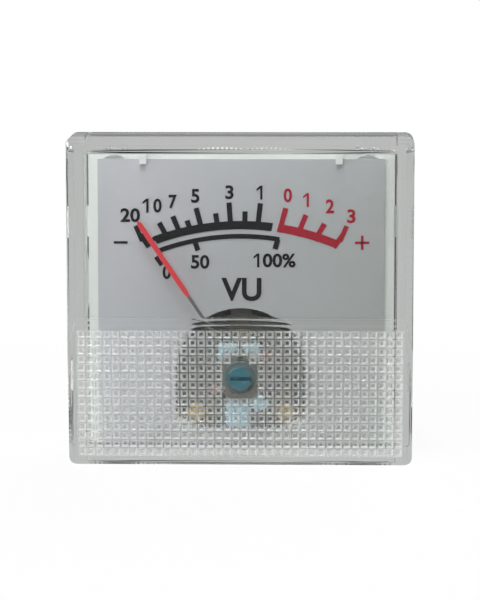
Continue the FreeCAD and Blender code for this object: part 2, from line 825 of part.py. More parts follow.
def bearings():
    # Front jewel screw: its head keeps the zero lever on its shank.
    cup = s.jewel_round + s.press_gap
    seat = lever_front - s.hole_gap
    inner_end = bridge_back + s.jewel_inset
    keep(turned([(0, jewel_head_front), (s.jewel_head_round, jewel_head_front),
                 (s.jewel_head_round, seat), (s.jewel_screw_round, seat), (s.jewel_screw_round, inner_end),
                 (cup, inner_end), (cup, front_pocket), (0, front_pocket)], ZERO, pivot_high),
         "front_jewel_screw")
    keep(turned(jewel_profile(front_pocket, 1), ZERO, pivot_high), "front_jewel")
    # Rear jewel screw, locked by a thin nut behind the bridge.
    inner_end = s.rear_bridge_level - s.jewel_inset
    outer_end = s.rear_bridge_level + s.jewel_screw_out
    keep(turned([(0, rear_pocket), (cup, rear_pocket), (cup, inner_end), (s.jewel_screw_round, inner_end),
                 (s.jewel_screw_round, outer_end), (0, outer_end)], ZERO, pivot_high), "rear_jewel_screw")
    keep(turned(jewel_profile(rear_pocket, -1), ZERO, pivot_high), "rear_jewel")
    bore = s.jewel_screw_round + s.hole_gap
    tag_back = rear_bridge_back + s.lug_thick
    locknut = ring_profile(bore, s.locknut_round, tag_back, tag_back + s.locknut_thick)
    keep(turned(locknut, ZERO, pivot_high), "jewel_locknut")
    washer_ring = ring_profile(bore, s.friction_washer_round, lever_back, -s.bridge_front)
    keep(turned(washer_ring, ZERO, pivot_high), "friction_washer")


def jewel_profile(back, way):
    """Half section of a cup jewel whose hollow faces the staff."""
    open_end = back + s.jewel_thick * way
    floor = back + s.jewel_floor * way
    return [(0, back), (s.jewel_round, back), (s.jewel_round, open_end), (s.jewel_mouth, open_end),
            (s.jewel_pit, floor), (0, floor)]


def rear_abutment():
    """Brass tag on the rear jewel screw: one arm holds the rear spring, the tail takes the rear lead."""
    level, top = rear_bridge_back, rear_bridge_back + s.lug_thick
    half = s.abutment_half
    eye = rod(ZERO, pivot_high, s.friction_washer_round, level, top)
    tail = block(-half, half, level, top, pivot_high, abutment_top)
    shelf = block(-(s.rear_lead_place + half), half, level, top + s.abutment_shelf,
                  abutment_top - s.lug_thick, abutment_top)
    arm = block(-half / 2, half / 2, s.rear_spring_level - s.spring_tall / 2, top,
                pivot_high + spring_outer, pivot_high + spring_outer + s.lug_thick)
    hole = rod(ZERO, pivot_high, s.jewel_screw_round + s.hole_gap, level, top)
    keep(cut(joined(eye, tail, shelf, arm), hole), "rear_abutment")


def stop_spot(angle):
    return (s.stop_radius * sine(angle), pivot_high + s.stop_radius * cosine(angle))


stop_spots = [stop_spot(s.stop_low_angle), stop_spot(s.stop_high_angle)]


def pointer_stops():
    pins = [rod(x, z, s.stop_round, -(s.pointer_level + s.stop_over), s.yoke_front) for x, z in stop_spots]
    keep(together(*pins), "pointer_stops")


# Moving coil and pointer, made around the origin with the pointer straight up

def moving_coil():
    inner = s.core_round + s.coil_gap
    outer = inner + s.former_thick
    around = outer + s.winding_thick
    half, wire_half = s.former_wide / 2, s.winding_wide / 2
    front, back = former_inner_front - s.former_thick, former_inner_back + s.former_thick
    frame_out = block(-outer, outer, front, back, -half, half)
    frame_in = block(-inner, inner, former_inner_front, former_inner_back, -half, half)
    keep(swung(cut(frame_out, frame_in), s.rest_angle), "coil_former")
    wire_out = block(-around, around, winding_front, winding_back, -wire_half, wire_half)
    wire_in = block(-outer, outer, front, back, -half, half)
    keep(swung(cut(wire_out, wire_in), s.rest_angle), "coil_winding")


def staffs():
    for label, tip, foot, way in (("front_staff", tip_front, winding_front, 1),
                                  ("rear_staff", tip_back, winding_back, -1)):
        cone, step = tip + s.pivot_long * way, foot - s.staff_foot_thick * way
        keep(swung(turned([(0, tip), (s.pivot_tip, tip), (s.pivot_round, cone), (s.staff_round, cone),
                           (s.staff_round, step), (s.staff_foot_round, step), (s.staff_foot_round, foot),
                           (0, foot)]), s.rest_angle), label)
    # Collets grip the inner ends of the hairsprings.
    collets = [rod(ZERO, ZERO, s.spring_inner - s.spring_thick / 2 - s.run_gap,
                   level - s.collet_long / 2, level + s.collet_long / 2)
               for level in (-s.front_spring_level, s.rear_spring_level)]
    bores = rod(ZERO, ZERO, s.staff_round + s.press_gap, -s.front_spring_level - s.collet_long,
                s.rear_spring_level + s.collet_long)
    keep(swung(together(*[cut(collet, bores) for collet in collets])), "spring_collets")


BALANCE_ARMS = (90, 180, 270)


def spoke(turn, radius, start, long, level):
    """A round bar that points away from the pivot, turned from straight up."""
    bar = doc.addObject("Part::Cylinder", "spoke")
    bar.Placement = FreeCAD.Placement(FreeCAD.Vector(), FreeCAD.Rotation(FreeCAD.Vector(0, 1, 0), turn))
    bar.setExpression("Radius", radius.text)
    bar.setExpression("Height", long.text)
    direction = math.radians(turn)
    return place(bar, start * round(math.sin(direction)), level, start * round(math.cos(direction)))


def pointer_group():
    level = -s.pointer_level
    front = level - s.pointer_thick / 2
    back = level + s.pointer_thick / 2
    collar_front, collar_back = front - s.hub_front, back + s.hub_back
    collar = rod(ZERO, ZERO, s.hub_round, collar_front, collar_back)
    arms = [spoke(turn, s.arm_round, ZERO, s.arm_long, level) for turn in BALANCE_ARMS]
    hole = rod(ZERO, ZERO, s.staff_round + s.press_gap, collar_front, collar_back)
    keep(swung(cut(joined(collar, *arms), hole), s.rest_angle), "pointer_hub")
    start = s.arm_long - s.weight_long - s.weight_inset
    weights = [cut(spoke(turn, s.weight_round, start, s.weight_long, level),
                   spoke(turn, s.arm_round + s.press_gap, start, s.weight_long, level))
               for turn in BALANCE_ARMS]
    keep(swung(together(*weights), s.rest_angle), "balance_weights")
    # The pointer widens where it is painted red and comes to a blunt point.
    narrow, broad, blunt = s.pointer_wide / 2, s.pointer_red_wide / 2, s.pointer_tip_wide / 2
    flare, shoulder = s.pointer_red_from + s.pointer_flare, s.pointer_long - s.pointer_tip_long
    edge = [(narrow, s.hub_round), (narrow, s.pointer_red_from), (broad, flare), (broad, shoulder),
            (blunt, s.pointer_long)]
    needle = plate(back, s.pointer_thick, edge + [(-x, z) for x, z in reversed(edge)])
    keep(swung(needle, s.rest_angle), "pointer")


# Hairsprings: flat strips wound in half turns

def spiral(level, mirrored, turn, label):
    inner, pitch = s.spring_inner.value, s.spring_pitch.value
    halves = round(2 * s.spring_turns.value)
    way = -1 if mirrored else 1
    arcs = []
    points = []
    # Each half turn is centred half a step to the other side of the last.
    end = FreeCAD.Vector(0, 0, inner)
    for half in range(halves):
        radius = inner + pitch / 4 + half * pitch / 2
        up = 1 if half % 2 == 0 else -1
        centre = end - FreeCAD.Vector(0, 0, up * radius)
        middle = centre + FreeCAD.Vector(way * up * radius, 0, 0)
        far = centre - FreeCAD.Vector(0, 0, up * radius)
        arcs.append(Part.Arc(end, middle, far))
        end = far
    path = Part.Wire([arc.toShape() for arc in arcs])
    start = FreeCAD.Vector(0, 0, inner)
    thick, tall = s.spring_thick.value / 2, s.spring_tall.value / 2
    section = Part.makePolygon([start + FreeCAD.Vector(0, a * tall, b * thick)
                                for a, b in ((-1, -1), (1, -1), (1, 1), (-1, 1), (-1, -1))])
    strip = path.makePipeShell([section], True, False)
    for arc in arcs:
        points.append([arc.value(arc.FirstParameter + (arc.LastParameter - arc.FirstParameter) * n / 24)
                       for n in range(25)])
    least = min(p.distanceToPoint(q) for a, first in enumerate(points) for b, second in enumerate(points)
                if b >= a + 2 for p in first for q in second)
    print(label, "length", round(path.Length, 2), "least gap between turns", round(least - 2 * thick, 3))
    piece = doc.addObject("Part::Feature", "spring")
    piece.Shape = strip
    piece.Placement = FreeCAD.Placement(FreeCAD.Vector(0, level.value, pivot_high.value),
                                        FreeCAD.Rotation(FreeCAD.Vector(0, 1, 0), turn.value))
    keep(piece, label)


# Zero lever and the adjuster in the cover

def zero_lever():
    """Light lever on the front jewel screw: a fork for the adjuster's pin, a spring arm and a tail."""
    hub = rod(ZERO, ZERO, s.lever_hub, lever_front, lever_back)
    fork = block(-s.fork_left, s.fork_right, lever_front, lever_back, s.jewel_screw_round, s.lever_fork_top)
    tail = block(-s.tail_left, s.tail_right, lever_front, lever_back, -s.lever_tail, -s.jewel_screw_round)
    arm = block(-s.spring_arm_half, s.spring_arm_half, lever_front, lever_back, s.jewel_screw_round,
                spring_outer + s.spring_arm_over)
    post = block(-s.spring_post_half, s.spring_post_half, lever_back,
                 s.spring_tall / 2 - s.front_spring_level, spring_outer, spring_outer + s.spring_post_thick)
    spring_arm = joined(arm, post)
    spring_arm.Placement = FreeCAD.Placement(FreeCAD.Vector(), FreeCAD.Rotation(FreeCAD.Vector(0, 1, 0), 1))
    spring_arm.setExpression("Placement.Rotation.Angle", s.spring_arm_angle.text)
    bore = rod(ZERO, ZERO, s.jewel_screw_round + s.run_gap, lever_front, lever_back)
    slot_half = s.pin_round + s.pin_gap
    slot = block(-slot_half, slot_half, lever_front, lever_back, s.pin_place - slot_half, s.lever_fork_top)
    keep(swung(cut(joined(hub, fork, tail, spring_arm), bore, slot)), "zero_lever")


def zero_adjuster():
    """Slotted stud in the cover with a flange inside and an off-centre pin in the lever's fork."""
    outer_end = s.panel_recess - s.cover_deep + (s.panel_high - pivot_high) * tangent(s.panel_slope)
    stud = turned([(0, outer_end), (s.adjuster_shank, outer_end), (s.adjuster_shank, flange_front),
                   (s.adjuster_flange, flange_front), (s.adjuster_flange, flange_back), (0, flange_back)],
                  ZERO, pivot_high)
    pin_root = flange_back - s.adjuster_flange_thick / 2
    pin = rod(ZERO, pivot_high + s.pin_place, s.pin_round, pin_root, lever_back)
    slot_end = s.adjuster_shank + s.hole_gap
    slot = block(-slot_end, slot_end, outer_end, outer_end + s.adjuster_slot_deep,
                 pivot_high - s.adjuster_slot_wide / 2, pivot_high + s.adjuster_slot_wide / 2)
    keep(cut(joined(stud, pin), slot), "zero_adjuster")
    seal = ring_profile(s.adjuster_shank + s.hole_gap, s.adjuster_flange - s.hole_gap, boss_face,
                        flange_front)
    keep(turned(seal, ZERO, pivot_high), "adjuster_seal")


# Terminals, leads and mounting hardware

def hexagon(x, z, flats):
    """Corner points of a hexagon nut with flats left and right."""
    radius = flats / 2 / cosine(size_of(30))
    return [(x + radius * sine(size_of(60 * corner)), z + radius * cosine(size_of(60 * corner)))
            for corner in range(6)]


def nut(x, z, y0):
    return plate(y0 + s.nut_thick, s.nut_thick, hexagon(x, z, s.nut_flats),
                 [(x, z, s.thread_round + s.hole_gap)])


def threaded_stud(x, z, sections, thread_start, end):
    """A stud of plain sections (radius, from, to), then a thread as a plain cylinder of its mean size."""
    profile = [(0, sections[0][1])]
    for radius, start, stop in sections + [(s.thread_round, thread_start, end - s.thread_bevel)]:
        profile += [(radius, start), (radius, stop)]
    profile += [(s.thread_round - s.thread_bevel, end), (0, end)]
    return turned(profile, x, z)


def washer(x, z, y0, bore):
    return turned(ring_profile(bore, s.washer_round, y0, y0 + s.plain_washer_thick), x, z)


def terminals():
    bore = s.terminal_round + s.hole_gap
    studs, washers, lugs, nuts = [], [], [], []
    head = floor_inside - s.terminal_head_thick
    for x, z in terminal_spots:
        studs.append(threaded_stud(x, z, [(s.terminal_head_round, head, floor_inside),
                                          (s.terminal_round, floor_inside, s.body_deep)],
                                   s.body_deep, s.body_deep + s.terminal_long))
        washers.append(washer(x, z, s.body_deep, bore))
        level = s.body_deep + s.plain_washer_thick
        eye = rod(x, z, s.washer_round, level, level + s.lug_thick)
        tail = block(x - s.lug_half, x + s.lug_half, level, level + s.lug_thick, z, z + s.lug_long)
        eyelet = rod(x, z + s.lug_long - s.lug_half, s.lug_eyelet, level, level + s.lug_thick)
        lugs.append(cut(joined(eye, tail), rod(x, z, bore, level, level + s.lug_thick), eyelet))
        nuts.append(nut(x, z, level + s.lug_thick))
    keep(together(*studs), "terminal_studs")
    keep(together(*washers), "terminal_washers")
    keep(together(*lugs), "solder_lugs")
    keep(together(*nuts), "terminal_nuts")


def mounting_hardware():
    """Studs with a neck in the base plate, a plain shank for the panel's hole and a thread behind it."""
    studs, washers, nuts = [], [], []
    for x, z in stud_spots:
        studs.append(threaded_stud(x, z, [(s.stud_head_round, -s.base_thick, stud_seat),
                                          (s.stud_neck_round, stud_seat, ZERO),
                                          (s.stud_round, ZERO, s.panel_thick)],
                                   s.panel_thick, s.stud_long))
        washers.append(washer(x, z, s.panel_thick, s.stud_round + s.hole_gap))
        nuts.append(nut(x, z, s.panel_thick + s.plain_washer_thick))
    keep(together(*studs), "mounting_studs")
    keep(together(*washers), "mounting_washers")
    keep(together(*nuts), "mounting_nuts")


def lead(points, label):
    """A thin insulated wire: straight runs joined by tangent arcs as large as the runs allow."""
    corners = [FreeCAD.Vector(*(size_of(amount).value for amount in point)) for point in points]
    edges = []
    start = corners[0]
    radii = []
    for before, here, after in zip(corners, corners[1:], corners[2:]):
        back, on = (before - here), (after - here)
        shorter = min(back.Length, on.Length)
        back.normalize()
        on.normalize()
        turn = math.pi - back.getAngle(on)
        cut_off = 0.45 * shorter
        radius = cut_off / math.tan(turn / 2)
        radii.append(round(radius, 2))
        arc_start, arc_end = here + back * cut_off, here + on * cut_off
        centre = here + (back + on).normalize() * (radius / math.cos(turn / 2))
        middle = centre + (here - centre).normalize() * radius
        edges.append(Part.LineSegment(start, arc_start).toShape())
        edges.append(Part.Arc(arc_start, middle, arc_end).toShape())
        start = arc_end
    edges.append(Part.LineSegment(start, corners[-1]).toShape())
    path = Part.Wire(edges)
    radius = s.lead_round.value
    section = Part.Wire([Part.makeCircle(radius, corners[0], corners[1] - corners[0])])
    tube = path.makePipeShell([section], True, False)
    share = tube.Volume / (path.Length * math.pi * radius ** 2)
    print(label, "radii", radii, "volume ratio", round(share, 4))
    piece = doc.addObject("Part::Feature", "lead")
    piece.Shape = tube
    keep(piece, label)


def leads():
    head = floor_inside - s.terminal_head_thick
    lead([(s.terminal_place, head, s.terminal_high),
          (s.terminal_place, head - 3.6, s.terminal_high),
          (s.terminal_place * 0.5, head - 7.6, s.terminal_high * 0.4 + lead_tab_z * 0.6),
          (s.lead_tab_place, head - 12.0, lead_tab_z),
          (s.lead_tab_place, s.yoke_front, lead_tab_z)], "front_lead")
    tail = rear_bridge_back + s.lug_thick
    lead([(-s.terminal_place, head, s.terminal_high),
          (-s.terminal_place, head - 3.9, s.terminal_high),
          (-s.terminal_place * 0.65, head - 5.2, s.terminal_high - 1.2),
          (-s.rear_lead_place, tail + s.abutment_shelf / 2, abutment_top + 4.3),
          (-s.rear_lead_place, tail + s.abutment_shelf / 2, abutment_top)], "rear_lead")


front_cover()
rear_case()
dial_plate()
scale_print()
movement_frame()
magnet_circuit()
bridge(bridge_back, "front_bridge")
bridge(rear_bridge_back, "rear_bridge")
posts_and_screws()
bearings()
rear_abutment()
pointer_stops()
moving_coil()
staffs()
pointer_group()
spiral(-s.front_spring_level, False, s.spring_arm_angle, "front_hairspring")
spiral(s.rear_spring_level, True, ZERO, "rear_hairspring")
zero_lever()
zero_adjuster()
terminals()
mounting_hardware()
leads()
doc.recompute()

for item in doc.Objects:
    if "Invalid" in item.State or "Error" in item.State:
        raise RuntimeError(f"{item.Name} ({item.Label}) failed: {item.State}")
for piece in PARTS:
    if piece.Shape.isNull() or not piece.Shape.isValid() or not piece.Shape.Solids:
        raise RuntimeError(f"{piece.Label} has no valid solid")

os.makedirs("parts", exist_ok=True)
for piece in PARTS:
    piece.Shape.exportStep(f"parts/{piece.Label}.step")
    print(f"{piece.Label}: {len(piece.Shape.Solids)} solids, {piece.Shape.Volume:.2f} mm3")
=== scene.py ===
import json
import math

import bmesh
import bpy
from mathutils import Matrix, Vector


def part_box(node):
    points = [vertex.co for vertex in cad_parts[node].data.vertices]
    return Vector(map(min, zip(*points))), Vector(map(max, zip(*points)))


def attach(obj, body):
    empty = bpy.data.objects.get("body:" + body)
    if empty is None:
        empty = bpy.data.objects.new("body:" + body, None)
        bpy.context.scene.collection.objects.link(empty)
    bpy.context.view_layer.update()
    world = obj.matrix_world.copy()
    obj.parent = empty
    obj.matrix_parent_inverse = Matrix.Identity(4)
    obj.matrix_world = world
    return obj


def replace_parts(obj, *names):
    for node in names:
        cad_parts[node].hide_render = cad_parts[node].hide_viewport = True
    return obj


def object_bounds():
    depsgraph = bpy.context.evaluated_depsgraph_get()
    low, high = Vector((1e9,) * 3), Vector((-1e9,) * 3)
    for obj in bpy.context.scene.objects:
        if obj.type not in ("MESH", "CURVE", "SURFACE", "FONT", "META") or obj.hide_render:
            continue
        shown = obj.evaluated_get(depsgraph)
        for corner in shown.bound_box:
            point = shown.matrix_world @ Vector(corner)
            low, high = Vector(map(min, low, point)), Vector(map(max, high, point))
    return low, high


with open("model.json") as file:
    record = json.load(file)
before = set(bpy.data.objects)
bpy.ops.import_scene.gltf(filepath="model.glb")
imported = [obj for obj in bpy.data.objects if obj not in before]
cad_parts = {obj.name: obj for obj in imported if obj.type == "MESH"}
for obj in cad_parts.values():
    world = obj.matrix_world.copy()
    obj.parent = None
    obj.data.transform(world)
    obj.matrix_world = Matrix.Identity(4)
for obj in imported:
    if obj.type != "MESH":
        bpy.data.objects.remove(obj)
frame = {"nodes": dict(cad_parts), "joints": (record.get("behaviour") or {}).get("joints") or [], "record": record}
cad_low, cad_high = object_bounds()

# A square panel meter seen from the front: clear cover, grey dial, red pointer, movement behind it.
# X runs to the right, Y into the panel and Z up. Sizes are in millimetres, made metres by MM.
MM = 0.001
joints = {joint["name"]: joint for joint in frame["joints"]}
pivot = Vector(joints["pointer_swing"]["pos_m"])
NODE_BODY = {node: body for body, nodes in frame["record"]["behaviour"]["bodies"].items() for node in nodes}
NODE_SLOT = {part["node"]: part["material_slot"] for part in frame["record"]["subparts"]}


# Node groups shared by the materials

def new_group(name, inputs, outputs):
    group = bpy.data.node_groups.new(name, "ShaderNodeTree")
    for label, start in inputs:
        socket = group.interface.new_socket(label, in_out="INPUT", socket_type="NodeSocketFloat")
        socket.default_value = start
    for label in outputs:
        group.interface.new_socket(label, in_out="OUTPUT", socket_type="NodeSocketFloat")
    return group, group.nodes.new("NodeGroupInput"), group.nodes.new("NodeGroupOutput")


def joiner(tree):
    """A short way to make nodes of one tree and to link them."""
    def add(kind, **settings):
        node = tree.nodes.new(kind)
        for name, value in settings.items():
            setattr(node, name, value)
        return node

    def link(start, end):
        tree.links.new(start, end)
    return add, link


def fit_range(add, link, value, low, high):
    """Carries a 0 to 1 value over to another range, given as numbers or sockets."""
    span = add("ShaderNodeMapRange")
    link(value, span.inputs["Value"])
    for name, limit in (("To Min", low), ("To Max", high)):
        if isinstance(limit, (int, float)):
            span.inputs[name].default_value = limit
        else:
            link(limit, span.inputs[name])
    return span.outputs["Result"]


def ramp(add, link, value, start, end, low=0.0, high=1.0):
    """Goes from one number to another while a length goes from start to end, in millimetres."""
    span = add("ShaderNodeMapRange")
    link(value, span.inputs["Value"])
    limits = (("From Min", start * MM), ("From Max", end * MM), ("To Min", low), ("To Max", high))
    for name, limit in limits:
        span.inputs[name].default_value = limit
    return span.outputs["Result"]


def grain_group():
    """Fine unevenness of a moulded, painted or cast surface: shade, roughness and height."""
    group, start, end = new_group("fine_grain", (("Scale", 900.0), ("Patches", 90.0), ("Depth", 0.5)),
                                  ("Shade", "Rough", "Height"))
    add, link = joiner(group)
    place = add("ShaderNodeTexCoord")
    fine = add("ShaderNodeTexNoise", noise_dimensions="3D")
    broad = add("ShaderNodeTexNoise", noise_dimensions="3D")
    for noise, label, detail in ((fine, "Scale", 3.0), (broad, "Patches", 4.0)):
        link(place.outputs["Object"], noise.inputs["Vector"])
        link(start.outputs[label], noise.inputs["Scale"])
        noise.inputs["Detail"].default_value = detail
        noise.inputs["Roughness"].default_value = 0.55
    both = add("ShaderNodeMath", operation="MULTIPLY")
    link(fine.outputs["Fac"], both.inputs[0])
    link(broad.outputs["Fac"], both.inputs[1])
    height = add("ShaderNodeMath", operation="MULTIPLY")
    link(fine.outputs["Fac"], height.inputs[0])
    link(start.outputs["Depth"], height.inputs[1])
    link(broad.outputs["Fac"], end.inputs["Shade"])
    link(both.outputs["Value"], end.inputs["Rough"])
    link(height.outputs["Value"], end.inputs["Height"])
    return group


def lathe_group():
    """Fine rings that a turning tool leaves around an axis along Y, with a little unevenness."""
    group, start, end = new_group("turning_rings", (("Pitch", 9000.0),), ("Ring", "Shade"))
    add, link = joiner(group)
    place = add("ShaderNodeTexCoord")
    rings = add("ShaderNodeTexWave", wave_type="BANDS", bands_direction="Y")
    link(place.outputs["Object"], rings.inputs["Vector"])
    link(start.outputs["Pitch"], rings.inputs["Scale"])
    rings.inputs["Distortion"].default_value = 1.2
    rings.inputs["Detail"].default_value = 2.0
    patches = add("ShaderNodeTexNoise")
    link(place.outputs["Object"], patches.inputs["Vector"])
    patches.inputs["Scale"].default_value = 260.0
    patches.inputs["Detail"].default_value = 5.0
    link(rings.outputs["Fac"], end.inputs["Ring"])
    link(patches.outputs["Fac"], end.inputs["Shade"])
    return group


GRAIN = grain_group()
RINGS = lathe_group()


# Materials

def start_material(name):
    made = bpy.data.materials.new(name)
    made.use_nodes = True
    add, link = joiner(made.node_tree)
    shader = made.node_tree.nodes["Principled BSDF"]
    return made, add, link, shader


def colour_between(add, link, value, first, second):
    mix = add("ShaderNodeMix", data_type="RGBA")
    link(value, mix.inputs["Factor"])
    mix.inputs["A"].default_value = (*first, 1)
    mix.inputs["B"].default_value = (*second, 1)
    return mix.outputs["Result"]


def grain_node(add, scale, patches):
    grain = add("ShaderNodeGroup", node_tree=GRAIN)
    grain.inputs["Scale"].default_value = scale
    grain.inputs["Patches"].default_value = patches
    return grain


def bumped(add, link, shader, height, strength, distance):
    bump = add("ShaderNodeBump")
    bump.inputs["Strength"].default_value = strength
    bump.inputs["Distance"].default_value = distance
    link(height, bump.inputs["Height"])
    link(bump.outputs["Normal"], shader.inputs["Normal"])


def grained(name, dark, light, rough, scale=900.0, patches=90.0, strength=0.25, coat=0.0, metal=0.0,
            gloss=0.5):
    """Moulded plastic, paint, ink or plating, with its tone, gloss and surface a little uneven."""
    made, add, link, shader = start_material(name)
    grain = grain_node(add, scale, patches)
    link(colour_between(add, link, grain.outputs["Shade"], dark, light), shader.inputs["Base Color"])
    link(fit_range(add, link, grain.outputs["Rough"], *rough), shader.inputs["Roughness"])
    shader.inputs["Metallic"].default_value = metal
    shader.inputs["Coat Weight"].default_value = coat
    shader.inputs["Specular IOR Level"].default_value = gloss
    bumped(add, link, shader, grain.outputs["Height"], strength, 0.02 * MM)
    return made


def turned_metal(name, dark, light, rough, pitch=9000.0, strength=0.15):
    """Metal that was turned or drawn, with fine rings and tarnish."""
    made, add, link, shader = start_material(name)
    rings = add("ShaderNodeGroup", node_tree=RINGS)
    rings.inputs["Pitch"].default_value = pitch
    link(colour_between(add, link, rings.outputs["Shade"], dark, light), shader.inputs["Base Color"])
    link(fit_range(add, link, rings.outputs["Shade"], *rough), shader.inputs["Roughness"])
    shader.inputs["Metallic"].default_value = 1.0
    bumped(add, link, shader, rings.outputs["Ring"], strength, 0.01 * MM)
    return made


def clear_moulding(name, clearness, rough):
    """Clear moulded plastic: it refracts, is faintly green and lets light through."""
    made, add, link, shader = start_material(name)
    grain = grain_node(add, 220.0, 120.0)
    shader.inputs["Base Color"].default_value = (0.965, 0.985, 0.970, 1)
    shader.inputs["Metallic"].default_value = 0.0
    shader.inputs["Transmission Weight"].default_value = clearness
    shader.inputs["IOR"].default_value = 1.49
    link(fit_range(add, link, grain.outputs["Rough"], *rough), shader.inputs["Roughness"])
    bumped(add, link, shader, grain.outputs["Height"], 0.05, 0.05 * MM)
    light = add("ShaderNodeLightPath")
    through = add("ShaderNodeBsdfTransparent")
    through.inputs["Color"].default_value = (0.9, 0.93, 0.92, 1)
    mix = add("ShaderNodeMixShader")
    link(light.outputs["Is Shadow Ray"], mix.inputs["Fac"])
    link(shader.outputs["BSDF"], mix.inputs[1])
    link(through.outputs["BSDF"], mix.inputs[2])
    end = made.node_tree.nodes["Material Output"]
    link(mix.outputs["Shader"], end.inputs["Surface"])
    return made


def dial_paint():
    """Pale lavender grey paint with a fine tooth and a few specks, and painted shade towards the lower right."""
    made, add, link, shader = start_material("dial_paint")
    place = add("ShaderNodeTexCoord")
    # Painted shade: the base colour runs from lighter at the upper left to darker at the lower right, as the light
    # falls.
    shade_slant = add("ShaderNodeMapping", vector_type="POINT")
    shade_slant.inputs["Rotation"].default_value = (0, math.radians(-30), 0)
    link(place.outputs["Object"], shade_slant.inputs["Vector"])
    parts = add("ShaderNodeSeparateXYZ")
    link(shade_slant.outputs["Vector"], parts.inputs["Vector"])
    across = ramp(add, link, parts.outputs["X"], -18, 18)
    tone = colour_between(add, link, across, (0.485, 0.47, 0.51), (0.365, 0.365, 0.365))
    grain = grain_node(add, 2600.0, 140.0)
    cloud = add("ShaderNodeMix", data_type="RGBA", blend_type="MULTIPLY")
    cloud.inputs["Factor"].default_value = 1.0
    link(tone, cloud.inputs["A"])
    link(colour_between(add, link, grain.outputs["Shade"], (0.96, 0.96, 0.96), (1.03, 1.03, 1.03)),
         cloud.inputs["B"])
    link(cloud.outputs["Result"], shader.inputs["Base Color"])
    link(fit_range(add, link, grain.outputs["Rough"], 0.45, 0.7), shader.inputs["Roughness"])
    bumped(add, link, shader, grain.outputs["Height"], 0.2, 0.01 * MM)
    return made


def two_toned(name, centre, change, inner, outer, grain_sizes, rough):
    """One finish near a point and another beyond it, each between two shades."""
    made, add, link, shader = start_material(name)
    place = add("ShaderNodeTexCoord")
    away = add("ShaderNodeVectorMath", operation="DISTANCE")
    link(place.outputs["Object"], away.inputs[0])
    away.inputs[1].default_value = centre
    grain = grain_node(add, *grain_sizes)
    mix = add("ShaderNodeMix", data_type="RGBA")
    link(ramp(add, link, away.outputs["Value"], *change), mix.inputs["Factor"])
    link(colour_between(add, link, grain.outputs["Shade"], *inner), mix.inputs["A"])
    link(colour_between(add, link, grain.outputs["Shade"], *outer), mix.inputs["B"])
    link(mix.outputs["Result"], shader.inputs["Base Color"])
    link(fit_range(add, link, grain.outputs["Rough"], *rough), shader.inputs["Roughness"])
    bumped(add, link, shader, grain.outputs["Height"], 0.15, 0.01 * MM)
    return made


def pointer_paint():
    """Red on the pointer's outer half and bare dark metal near the pivot."""
    metal = ((0.07, 0.07, 0.065), (0.15, 0.15, 0.14))
    red = ((0.60, 0.022, 0.035), (0.74, 0.040, 0.055))
    return two_toned("pointer_paint", pivot, (12.4, 12.9), metal, red, (1500.0, 500.0), (0.3, 0.5))


def heat_tinted():
    """Alloy drawn pale blue by heat at its ends and left dark brown round the pivot."""
    centre = pivot + Vector((0, -5.4, 0)) * MM
    brown = ((0.06, 0.05, 0.04), (0.17, 0.15, 0.12))
    pale = ((0.25, 0.42, 0.50), (0.38, 0.57, 0.66))
    return two_toned("blued_alloy", centre, (2.9, 4.2), brown, pale, (1200.0, 420.0), (0.35, 0.55))


MATERIALS = {
    "clear_acrylic": clear_moulding("clear_acrylic", 1.0, (0.0, 0.06)),
    "pressed_acrylic": clear_moulding("pressed_acrylic", 0.93, (0.03, 0.08)),
    "pressed_slopes": clear_moulding("pressed_slopes", 0.70, (0.08, 0.16)),
    "dial_paint": dial_paint(),
    "pointer_paint": pointer_paint(),
    "white_plastic": grained("white_plastic", (0.66, 0.66, 0.645), (0.80, 0.80, 0.79), (0.35, 0.6)),
    "black_ink": grained("black_ink", (0.003, 0.003, 0.004), (0.008, 0.008, 0.010), (0.5, 0.8), 2600.0,
                         gloss=0.05),
    "red_ink": grained("red_ink", (0.30, 0.008, 0.022), (0.40, 0.014, 0.034), (0.5, 0.8), 2600.0, gloss=0.05),
    "zinc_steel": turned_metal("zinc_steel", (0.52, 0.53, 0.55), (0.70, 0.71, 0.72), (0.22, 0.42)),
    "nickel_brass": turned_metal("nickel_brass", (0.58, 0.56, 0.50), (0.76, 0.74, 0.68), (0.15, 0.35)),
    "raw_brass": turned_metal("raw_brass", (0.55, 0.36, 0.12), (0.80, 0.58, 0.24), (0.18, 0.38)),
    "soft_iron": grained("soft_iron", (0.20, 0.20, 0.20), (0.34, 0.34, 0.35), (0.3, 0.55), metal=1.0),
    "magnet_alloy": grained("magnet_alloy", (0.10, 0.10, 0.105), (0.20, 0.20, 0.21), (0.3, 0.6), metal=1.0),
    "moulded_black": grained("moulded_black", (0.045, 0.042, 0.030), (0.085, 0.080, 0.060), (0.35, 0.6)),
    "thin_aluminium": grained("thin_aluminium", (0.60, 0.61, 0.63), (0.78, 0.79, 0.81), (0.25, 0.4),
                              metal=1.0),
    "enamelled_copper": turned_metal("enamelled_copper", (0.42, 0.12, 0.06), (0.62, 0.22, 0.12), (0.2, 0.4)),
    "tempered_steel": turned_metal("tempered_steel", (0.40, 0.40, 0.42), (0.60, 0.60, 0.62), (0.15, 0.3)),
    "bronze_strip": turned_metal("bronze_strip", (0.50, 0.30, 0.15), (0.68, 0.48, 0.28), (0.2, 0.35)),
    "ruby": grained("ruby", (0.40, 0.01, 0.04), (0.58, 0.03, 0.08), (0.05, 0.12), coat=0.5),
    "blued_alloy": heat_tinted(),
    "adjuster_plastic": grained("adjuster_plastic", (0.03, 0.12, 0.15), (0.08, 0.20, 0.24), (0.2, 0.4),
                                patches=900.0),
    "rubber_seal": grained("rubber_seal", (0.12, 0.22, 0.23), (0.20, 0.31, 0.32), (0.6, 0.8)),
    "dark_bridge_metal": turned_metal("dark_bridge_metal", (0.05, 0.045, 0.04), (0.13, 0.12, 0.10),
                                      (0.3, 0.5)),
    "lead_insulation": grained("lead_insulation", (0.36, 0.02, 0.02), (0.50, 0.04, 0.03), (0.35, 0.5)),
}


# Shapes

